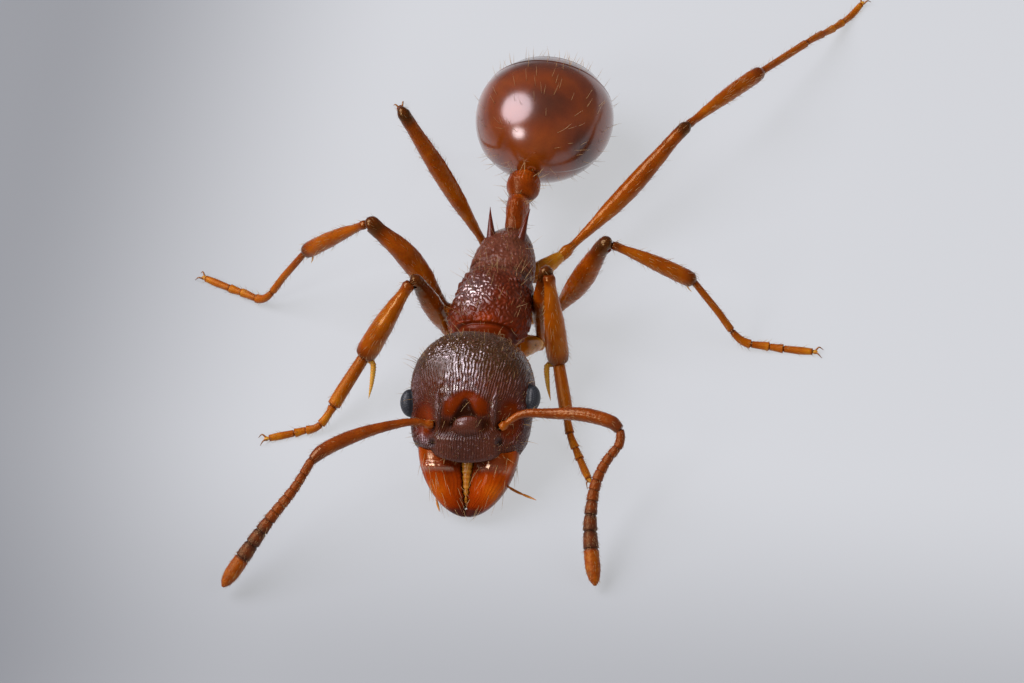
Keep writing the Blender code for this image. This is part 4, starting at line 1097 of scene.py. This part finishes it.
sting_line = np.stack([0 * share, 0.60 + 0.15 * share, -0.04 - 0.05 * share**2], axis=1)
surface("sting", placed(GASTER, tube(sting_line, 0.016 * (1 - share) + 0.002, 16)),
        gaster_shell, "gaster", patterns={"tone": 0.8, "shade": 0.0})

# ---- Legs -------------------------------------------------------------------------------
# Six jointed tubes of clear amber shell, glossy, darker where they bend. Each has a stout
# coxa under the trunk, a small ring-like trochanter, a swollen femur, a tibia that widens to
# its end, and a thin five-jointed foot with two hooked claws and a sole flat on the floor.

LEG_LENGTHS = {  # coxa, femur with trochanter, tibia, and the two runs of the tarsus
    "fore": (0.40, 0.88, 0.85, 0.675, 0.46),
    "mid": (0.31, 1.08, 0.84, 0.685, 0.62),
    "hind": (0.40, 1.56, 1.03, 0.76, 0.74),
}
HIPS = {"fore": (0.16, 0.28, -0.27), "mid": (0.16, 0.74, -0.31), "hind": (0.16, 1.12, -0.29)}
# Stance: (degrees outwards from straight ahead, degrees above level) for the coxa, femur,
# tibia and first tarsal run, and the outward angle of the last
STANCE = {
    "fore_right": ((131, -30), (68.2, 75.6), (47.6, -45.6), (32.6, -29.7), 69.9),
    "mid_right": ((81, 3), (107.8, 52.9), (94.8, -39.4), (76, -53), 111.4),
    "hind_right": ((163, -13), (116, 61), (-124, -75), (157, -35), 148),
    "fore_left": ((145, -36), (130.5, 80.7), (16.3, -60.8), (17, -11.7), 29.5),
    "mid_left": ((118, -36), (101.2, 59.4), (89.6, -30.1), (67, -51.4), 89.3),
    "hind_left": ((143, -5), (143, 15), (149, -11), (151, -18), 153),
}
FEMUR_BOW = {"fore_right": 0.02, "mid_right": 0.12, "hind_right": 0.02,
             "fore_left": 0.02, "mid_left": -0.05, "hind_left": -0.05}
SOLE_HEIGHT = 0.026
LEG_RIPPLE = 0.0010
TROCHANTER_END = 0.118  # as a share of the femur with its trochanter
# Radius at shares of each joint's length
COXA = ((0.0, 0.05), (0.08, 0.085), (0.3, 0.105), (0.65, 0.085), (0.92, 0.060), (1.0, 0.045))
FEMUR = (  # with the trochanter's bead at its root and the knee at its end
    (0.0, 0.030), (0.03, 0.050), (0.075, 0.056), (0.105, 0.040), (0.13, 0.036), (0.25, 0.050),
    (0.42, 0.078), (0.58, 0.085), (0.75, 0.072), (0.88, 0.060), (0.96, 0.060), (1.0, 0.030),
)
TIBIA = ((0.0, 0.030), (0.04, 0.040), (0.10, 0.036), (0.3, 0.050), (0.6, 0.068), (0.85, 0.071),
         (0.95, 0.065), (1.0, 0.035))
COXA_STOUTNESS = {"fore": 1.0, "mid": 0.9, "hind": 0.8}
FEMUR_STOUTNESS = {"fore": 1.05, "mid": 1.18, "hind": 0.95}
TIBIA_STOUTNESS = {"fore": 1.36, "mid": 1.0, "hind": 0.95}
TARSUS_RADIUS = {"fore": (0.064, 0.037), "mid": (0.036, 0.037), "hind": (0.038, 0.033)}
FOOT_JOINTS = (0.0, 0.44, 0.60, 0.72, 0.81, 1.0)  # where each of the foot's five joints ends
LEG_SHINE = (1.0, 0.62, 0.22)
KNEE_DARK = {"fore": 0.62, "mid": 0.74, "hind": 0.88}  # where the femur starts to darken
LEG_COLOURS = (
    (0.0, (0.055, 0.014, 0.002)), (0.25, (0.12, 0.020, 0.0008)), (0.5, (0.235, 0.042, 0.0006)),
    (0.75, (0.335, 0.080, 0.0015)), (1.0, (0.52, 0.21, 0.008)),
)


def aim(side, outwards, above):
    """Unit vector that turns outwards from straight ahead and rises above level."""
    outwards, above = math.radians(outwards), math.radians(above)
    return np.array([side * math.sin(outwards) * math.cos(above),
                     -math.cos(outwards) * math.cos(above), math.sin(above)])


def unit(vector):
    """The vector at length 1."""
    return vector / np.linalg.norm(vector)


def leg_joints(pair, side_name):
    """Hip, trochanter, knee, ankle, bend of the foot and toe, from the stance."""
    side = SIDES[side_name]
    *poses, last_turn = STANCE[f"{pair}_{side_name}"]
    joints = [placed(TRUNK, np.array(HIPS[pair]) * [side, 1, 1])]
    for (outwards, above), length in zip(poses, LEG_LENGTHS[pair]):
        joints.append(joints[-1] + length * aim(side, outwards, above))
    drop = math.degrees(math.asin((SOLE_HEIGHT - joints[-1][2]) / LEG_LENGTHS[pair][-1]))
    joints.append(joints[-1] + LEG_LENGTHS[pair][-1] * aim(side, last_turn, drop))
    return joints


def rippled(grid, seed):
    """The grid with faint ripples raised on it."""
    return grid + outward(grid) * (LEG_RIPPLE * wander(grid, 0.07, seed))[..., None]


def knee_ways(joints):
    """Unit vectors down the shin, up the thigh, and out over the bend of the knee."""
    trochanter, knee, ankle = joints[1:4]
    shin, thigh = unit(ankle - knee), unit(knee - trochanter)
    return shin, thigh, unit(shin - min(0.0, shin @ thigh) * thigh)


def ball_of_foot(bend, toe):
    """The point a quarter of the way back from the toe, level with it."""
    ball = toe + 0.25 * (bend - toe)
    ball[2] = toe[2]
    return ball


def segment(points, profile, stoutness, rings, sides, seed):
    """A tube along a smooth line through the points, with faint long ripples in its shell."""
    share = np.linspace(0, 1, rings)
    grid = tube(at_shares(smooth_line(points, 160), share), through(profile, share) * stoutness,
                sides)
    return share, rippled(grid, seed)


def coxa_shape(joints, pair):
    """A straight stout run from the hip to the trochanter, lighter at its far end."""
    hip, trochanter = joints[:2]
    share, grid = segment((hip, (hip + trochanter) / 2, trochanter), COXA, COXA_STOUTNESS[pair],
                          110, 64, 81)
    tone = 0.86 - 0.25 * ease(share, 0.25, 0.0) + 0.12 * ease(share, 0.75, 0.95)
    return grid, tone, 0.3 * ease(share, 0.12, 0.0)


def femur_shape(joints, pair, tag):
    """The line starts inside the coxa, bends at the trochanter, bows along the femur and curls
    over the knee to where the tibia hangs."""
    hip, trochanter, knee = joints[:3]
    shin, thigh, outer = knee_ways(joints)
    middle = (trochanter + knee) / 2 + np.array([0, 0, FEMUR_BOW[tag]])
    points = (trochanter - 0.045 * unit(trochanter - hip), trochanter + 0.02 * thigh,
              middle, knee - 0.10 * thigh, knee - 0.02 * thigh + 0.015 * outer,
              knee + 0.045 * outer + 0.01 * shin)
    line = np.concatenate([smooth_line(points[:4], 120)[:-1], smooth_line(points[3:], 40)])
    share = np.linspace(0, 1, 170)
    radius = through(FEMUR, share) * FEMUR_STOUTNESS[pair]
    tone = (0.60 - 0.12 * ease(share, 0.3, 0.7) - 0.46 * ease(share, KNEE_DARK[pair], 0.95)
            + 0.20 * ease(share, 0.16, 0.04))
    return (rippled(tube(at_shares(line, share), radius, 56), 82), tone,
            0.35 * streak(share - TROCHANTER_END, 0.012))


def tibia_shape(joints, pair):
    """The tibia starts under the knee and ends in a collar over the foot."""
    knee, ankle = joints[2:4]
    shin, thigh, outer = knee_ways(joints)
    bent = math.sqrt((1 - shin @ thigh) / 2)
    start = knee + outer * 0.052 * FEMUR_STOUTNESS[pair] * (0.1 + 1.2 * bent)
    middle = (start + ankle) / 2 + np.array([0, 0, 0.015])
    share, grid = segment((start, middle, ankle + 0.01 * shin), TIBIA, TIBIA_STOUTNESS[pair],
                          130, 56, 83)
    tone = 0.62 - 0.34 * ease(share, 0.14, 0.0) - 0.42 * ease(share, 0.80, 0.97)
    return grid, tone, 0.2 * ease(share, 0.97, 1.0)


def on_floor(grid):
    """The grid with everything that would pass through the floor pressed flat on it."""
    return np.maximum(grid, [-np.inf, -np.inf, 0.0])


def tarsus_shape(joints, pair):
    """Five joints, each a little wider at its far end, along a line that levels out on the
    floor, where the underside is pressed flat."""
    knee, ankle, bend, toe = joints[2:]
    shin = unit(ankle - knee)
    thick, thin = TARSUS_RADIUS[pair]
    start = ankle - 0.01 * shin
    ball = ball_of_foot(bend, toe)
    line = smooth_line((start, (start + bend) / 2, bend,
                        (bend + ball) / 2 - np.array([0, 0, 0.02]), ball, toe), 200)
    share = np.linspace(0, 1, 260)
    number, within = within_joints(share, FOOT_JOINTS)
    not_last = number < len(FOOT_JOINTS) - 2
    flare = 0.80 + 0.28 * within**1.5 - 0.45 * ease(within, 0.965, 1.0) * not_last
    flare = flare * (0.75 + 0.25 * ease(within, 0.0, 0.05))
    swell = through(((0, thick), (0.10, thick), (0.42, 0.85 * thick), (0.5, thin), (0.9, thin),
                     (1.0, 0.7 * thin)), share)
    grid = on_floor(tube(at_shares(line, share), flare * swell, 36))
    to_joint = np.minimum(within, 1 - within)
    tone = 0.62 + 0.16 * within - 0.30 * streak(to_joint, 0.05)
    tone = tone - 0.10 * ease(share, 0.5, 0.1) + 0.06 * ease(share, 0.5, 0.9)
    return grid, tone, 0.25 * streak(to_joint, 0.04)


amber = cuticle("leg_amber", LEG_COLOURS, roughness=0.22, mottle=0.15, mottle_size=0.10,
                grain=0.25, grain_size=0.010, coat=0.10, coat_roughness=0.12, depth=0.08,
                glow=0.25, gloss=0.5, tint=LEG_SHINE)
foot_amber = cuticle("foot_amber", LEG_COLOURS, roughness=0.38, mottle=0.08, mottle_size=0.05,
                     grain=0.6, grain_size=0.007, coat=0.0, depth=0.06, glow=0.25,
                     gloss=0.4, tint=LEG_SHINE)
leg_grids = {}
all_joints = {}
for side_name in SIDES:
    for pair in LEG_LENGTHS:
        tag = f"{pair}_{side_name}"
        joints = all_joints[tag] = leg_joints(pair, side_name)
        for part_name, (grid, tone, shade), finish, slot in (
                ("coxa", coxa_shape(joints, pair), amber, "leg"),
                ("femur", femur_shape(joints, pair, tag), amber, "leg"),
                ("tibia", tibia_shape(joints, pair), amber, "leg"),
                ("tarsus", tarsus_shape(joints, pair), foot_amber, "tarsus")):
            leg_grids[part_name, tag] = grid
            surface(f"{part_name}_{tag}_shell", grid, finish, slot, f"{part_name}_{tag}",
                    patterns={"tone": tone[:, None] + 0.05 * wander(grid, 0.20, 84),
                              "shade": shade[:, None]})

# ---- Claws and spurs --------------------------------------------------------------------
# Each foot ends in two slim brown hooks with a soft pad between them. The end of each fore
# tibia carries a yellow curved spur with a comb along it, which cleans the feelers, and the
# other tibiae end in a short plain spur.

CLAW_SPREAD, CLAW_LENGTH, CLAW_RADIUS = 0.045, 0.075, 0.011
PAD_LENGTH, PAD_RADIUS = 0.055, 0.020
SPUR_LENGTH, SPUR_RADIUS, COMB_TEETH = 0.30, 0.024, 16
SHORT_SPUR_LENGTH, SHORT_SPUR_RADIUS = 0.11, 0.009
SPUR_SPREAD = {"left": 0.05, "right": 0.35}  # how far each leans away from its foot
CLAW_COLOURS = ((0.0, (0.12, 0.035, 0.005)), (0.5, (0.28, 0.10, 0.015)), (1.0, (0.46, 0.22, 0.04)))
SPUR_COLOURS = ((0.0, (0.30, 0.10, 0.006)), (0.5, (0.55, 0.26, 0.022)), (1.0, (0.70, 0.42, 0.08)))


def hook_line(root, ahead, across, sign):
    """From the foot's end out and forward, then down to the floor."""
    base = root + 0.01 * ahead + sign * 0.3 * across * CLAW_SPREAD
    tip = root + ahead * CLAW_LENGTH + sign * across * CLAW_SPREAD
    tip[2] = 0.6 * CLAW_RADIUS
    crook = root + ahead * 0.55 * CLAW_LENGTH + sign * across * 0.8 * CLAW_SPREAD
    crook[2] += 0.022
    return smooth_line((root - 0.015 * ahead, base, crook, tip), 60)


claw_horn = cuticle("claw_horn", CLAW_COLOURS, roughness=0.25, mottle=0.05, grain=0.1, coat=0.3,
                    depth=0.02, glow=0.1)
spur_comb = cuticle("spur_yellow", SPUR_COLOURS, roughness=0.4, mottle=0.1, mottle_size=0.02,
                    grain=0.3, coat=0.1, depth=0.04, glow=0.3)
share = np.linspace(0, 1, 60)
for tag, joints in all_joints.items():
    knee, ankle, bend, toe = joints[2:]
    ahead = unit(toe - ball_of_foot(bend, toe))
    across = unit(np.array([-ahead[1], ahead[0], 0]))
    root = toe + ahead * 0.012
    for hook, sign in (("outer", 1), ("inner", -1)):
        hook_grid = tube(at_shares(hook_line(root, ahead, across, sign), share),
                         CLAW_RADIUS * (1.05 - 0.85 * share), 14)
        surface(f"claw_{tag}_{hook}", on_floor(hook_grid), claw_horn, "claw",
                *([f"claws_{tag}"] if sign == 1 else []),
                patterns={"tone": (0.75 - 0.6 * share)[:, None], "shade": 0.0})
    pad_line = toe + ahead * (PAD_LENGTH * share[:, None] - 0.01)
    pad_radius = PAD_RADIUS * np.sqrt(np.maximum(1 - (2 * share - 1) ** 2, 0.01))
    pad_grid = tube(pad_line, pad_radius, 20, flatness=0.6)
    surface(f"pad_{tag}", on_floor(pad_grid), spur_comb, "claw",
            patterns={"tone": 0.5, "shade": 0.1})

    pair, side_name = tag.split("_")
    shin, forward = unit(ankle - knee), unit(bend - ankle)
    inner = np.array([-SIDES[side_name], 0.0, 0.0])
    inner = unit(inner - forward * (inner @ forward))
    lean = forward * 0.85 + inner * SPUR_SPREAD[side_name] - np.array([0, 0, 0.3])
    length, radius, start = SPUR_LENGTH, SPUR_RADIUS, ankle + inner * 0.10 + forward * 0.01
    if pair != "fore":
        length, radius = SHORT_SPUR_LENGTH, SHORT_SPUR_RADIUS
        start = ankle - shin * 0.03 + inner * 0.05
    end = start + length * unit(lean)
    spur_line = smooth_line((start - 0.06 * inner, start, (start + end) / 2 + inner * 0.01, end),
                            60)
    spur_radius = radius * (1 - share**2.5) * (0.7 + 0.3 * ease(share, 0, 0.2)) + 0.001
    comb = 1 + 0.12 * np.cos(share * 2 * math.pi * COMB_TEETH)
    surface(f"spur_{tag}_comb", tube(at_shares(spur_line, share), spur_radius * comb, 16),
            spur_comb, "palp", *([f"spur_{tag}"] if pair == "fore" else []),
            patterns={"tone": (0.45 + 0.35 * share)[:, None], "shade": 0.0})

# ---- Bristles and down ------------------------------------------------------------------
# Pale golden hairs grow straight out of the shell: long stiff bristles, thinly spread over the
# back and the face, and short slanting down on the feelers, legs and feet. Each is a solid
# tapering three-sided rod that leans the way its part points.

HAIR_COLOURS = ((0.0, (0.22, 0.10, 0.03)), (0.5, (0.42, 0.26, 0.11)), (1.0, (0.62, 0.46, 0.27)))
HAIR_JOINTS, HAIR_SIDES = 4, 3
HAIR_SUNK = 0.04  # the share of each hair that starts under the shell
DOWN = {"coxa": 25, "femur": 130, "tibia": 130, "tarsus": 110}  # hairs on each
BAKE_PATCH = 0.003  # width of each hair's patch on its skin's unwrapped map
hair_finish = cuticle("golden_hair", HAIR_COLOURS, roughness=0.35, mottle=0.2, mottle_size=0.05,
                      grain=0.0, coat=0.0, depth=0.01, glow=0.0)


def pick_roots(grid, count, seed, weight=None):
    """Random places on a grid of points, as likely as the shell's area and weight there:
    ring and side as whole numbers."""
    along = np.linalg.norm(np.gradient(grid, axis=0), axis=-1)
    beside = np.linalg.norm(np.roll(grid, -1, axis=1) - grid, axis=-1)
    chance = along * beside * (1 if weight is None else weight)
    chance[[0, -1]] = 0
    draw = np.random.default_rng(seed)
    chosen = draw.choice(chance.size, size=count, p=chance.ravel() / chance.sum())
    return chosen // grid.shape[1], chosen % grid.shape[1]


def hairs(grid, count, length, thickness, seed, lean=0.4, droop=0.15, weight=None,
          patch=(0.0, 0.0, 1.0, 1.0)):
    """Points and map places of hairs on a grid of points. Each leaves along the shell's normal
    leaned towards the grid's later rings, curves over by droop, and narrows to its tip. patch
    is the part of the map that holds this skin: left, bottom, width and height."""
    ring, side = pick_roots(grid, count, seed, weight)
    draw = np.random.default_rng(seed + 1)
    normal = outward(grid)[ring, side]
    flow = np.gradient(grid, axis=0)[ring, side]
    flow /= np.maximum(np.linalg.norm(flow, axis=1, keepdims=True), 1e-9)
    way = normal + lean * flow + 0.22 * draw.normal(size=(count, 3))
    way /= np.linalg.norm(way, axis=1, keepdims=True)
    length = length * draw.uniform(0.65, 1.15, count)
    share = np.linspace(0, 1, HAIR_JOINTS)[None, :, None]
    bend = flow[:, None] * droop * share**2
    reach = (way[:, None] * (share - HAIR_SUNK) + bend) * length[:, None, None]
    spine = grid[ring, side][:, None] + reach
    across = np.cross(way, flow + 0.1)
    across /= np.linalg.norm(across, axis=1, keepdims=True)
    up = np.cross(across, way)
    angle = 2 * math.pi * np.arange(HAIR_SIDES) / HAIR_SIDES
    radius = thickness * (1 - share**1.5 * 0.9)
    offset = (np.cos(angle)[None, None, :, None] * across[:, None, None]
              + np.sin(angle)[None, None, :, None] * up[:, None, None])
    points = spine[:, :, None] + radius[..., None] * offset
    points[..., 2] = np.maximum(points[..., 2], 0.0005)
    left, bottom, width, height = patch
    place = np.stack([left + width * ring / grid.shape[0], bottom + height * side / grid.shape[1]],
                     axis=1)
    return points, place


def coat(name, groups, slot):
    """One mesh of all the hairs in groups, with a closed base and tip on each. Its map puts
    each hair as a small patch at its root's place on the unwrapped skin."""
    points = np.concatenate([group[0] for group in groups])
    place = np.concatenate([group[1] for group in groups])
    count = len(points)
    index = np.arange(HAIR_JOINTS * HAIR_SIDES).reshape(HAIR_JOINTS, HAIR_SIDES)
    beside = np.roll(index, -1, axis=1)
    quads = np.stack([index[:-1], beside[:-1], beside[1:], index[1:]], axis=-1).reshape(-1, 4)
    caps = np.stack([index[0][::-1], index[-1]])
    per_hair = HAIR_JOINTS * HAIR_SIDES
    start = (np.arange(count) * per_hair)[:, None, None]
    mesh = bpy.data.meshes.new(name)
    faces = (start + quads).reshape(-1, 4).tolist() + (start + caps).reshape(-1, 3).tolist()
    mesh.from_pydata((points.reshape(-1, 3) * MM).tolist(), [], faces)
    around = np.broadcast_to(np.arange(HAIR_SIDES) / HAIR_SIDES, (HAIR_JOINTS, HAIR_SIDES))
    height = np.broadcast_to(np.linspace(0, 1, HAIR_JOINTS)[:, None], (HAIR_JOINTS, HAIR_SIDES))
    within = np.stack([around, height], axis=-1).reshape(1, per_hair, 2) * BAKE_PATCH
    at_points = (place[:, None] + within).reshape(-1, 2)
    corner = np.empty(len(mesh.loops), np.int32)
    mesh.loops.foreach_get("vertex_index", corner)
    mesh.uv_layers.new(name="OFBake").data.foreach_set("uv", at_points[corner].ravel())
    tone = np.broadcast_to(0.35 + 0.45 * height.reshape(1, -1), (count, per_hair))
    mesh.attributes.new("tone", "FLOAT", "POINT").data.foreach_set("value", tone.ravel())
    mesh.shade_smooth()
    mesh.materials.append(hair_finish)
    return set_in_place(bpy.data.objects.new(name, mesh), slot)


head_skin = placed(HEAD, head_grid)
upper_face = ease(head_grid[..., 2], -0.05, 0.10)
coat("head_bristles", [
    hairs(head_skin, 70, 0.13, 0.0024, 101, lean=-0.35, weight=upper_face + 0.3),
    hairs(head_skin, 480, 0.045, 0.0012, 102, lean=-0.8, weight=upper_face + 0.3),
], "head")
jaw_patches = {"right": (0.0, 0.0, 0.5, 1.0), "left": (0.5, 0.0, 0.5, 1.0)}
coat("mandible_bristles", [
    hairs(mandible_grids[side_name], 40, 0.12, 0.0022, 111 + 10 * number, lean=2.2, droop=0.2,
          patch=jaw_patches[side_name])
    for number, side_name in enumerate(SIDES)
], "mandible")
trunk_skin = placed(TRUNK, trunk_grid)
trunk_back = ease(trunk_grid[..., 2], -0.05, 0.08)
coat("trunk_bristles", [
    hairs(trunk_skin, 60, 0.14, 0.0018, 131, lean=0.15, weight=trunk_back),
    hairs(trunk_skin, 110, 0.045, 0.0011, 133, lean=0.8, weight=trunk_back),
], "trunk")
coat("waist_bristles", [
    hairs(waist_grids["petiole"], 22, 0.11, 0.0024, 141, lean=0.3, patch=(0.0, 0.0, 0.5, 1.0)),
    hairs(waist_grids["postpetiole"], 30, 0.13, 0.0024, 143, lean=0.3,
          patch=(0.5, 0.0, 0.5, 1.0)),
], "waist")
coat("gaster_bristles", [
    hairs(gaster_grids["gaster_front"], 130, 0.10, 0.0018, 151, lean=0.7,
          patch=(0.0, 0.0, 0.6, 1.0)),
    hairs(gaster_grids["gaster_rear"], 120, 0.12, 0.0020, 153, lean=0.7,
          patch=(0.6, 0.0, 0.4, 1.0)),
], "gaster")
coat("antenna_down", [
    hairs(grid, count, length, 0.0013, 161 + 3 * number, lean=1.4,
          patch=(0.25 * number, 0.0, 0.25, 1.0))
    for number, (grid, count, length) in enumerate(
        (antenna_grids[joint, side_name], count, length)
        for joint, count, length in (("scape", 90, 0.05), ("funiculus", 420, 0.030))
        for side_name in SIDES)
], "antenna")
leg_names = list(leg_grids)
coat("leg_down", [
    hairs(leg_grids[key], DOWN[key[0]], 0.055, 0.0014, 181 + 3 * number, lean=1.3,
          patch=(number / len(leg_names), 0.0, 1 / len(leg_names), 1.0))
    for number, key in enumerate(leg_names)
], "leg")
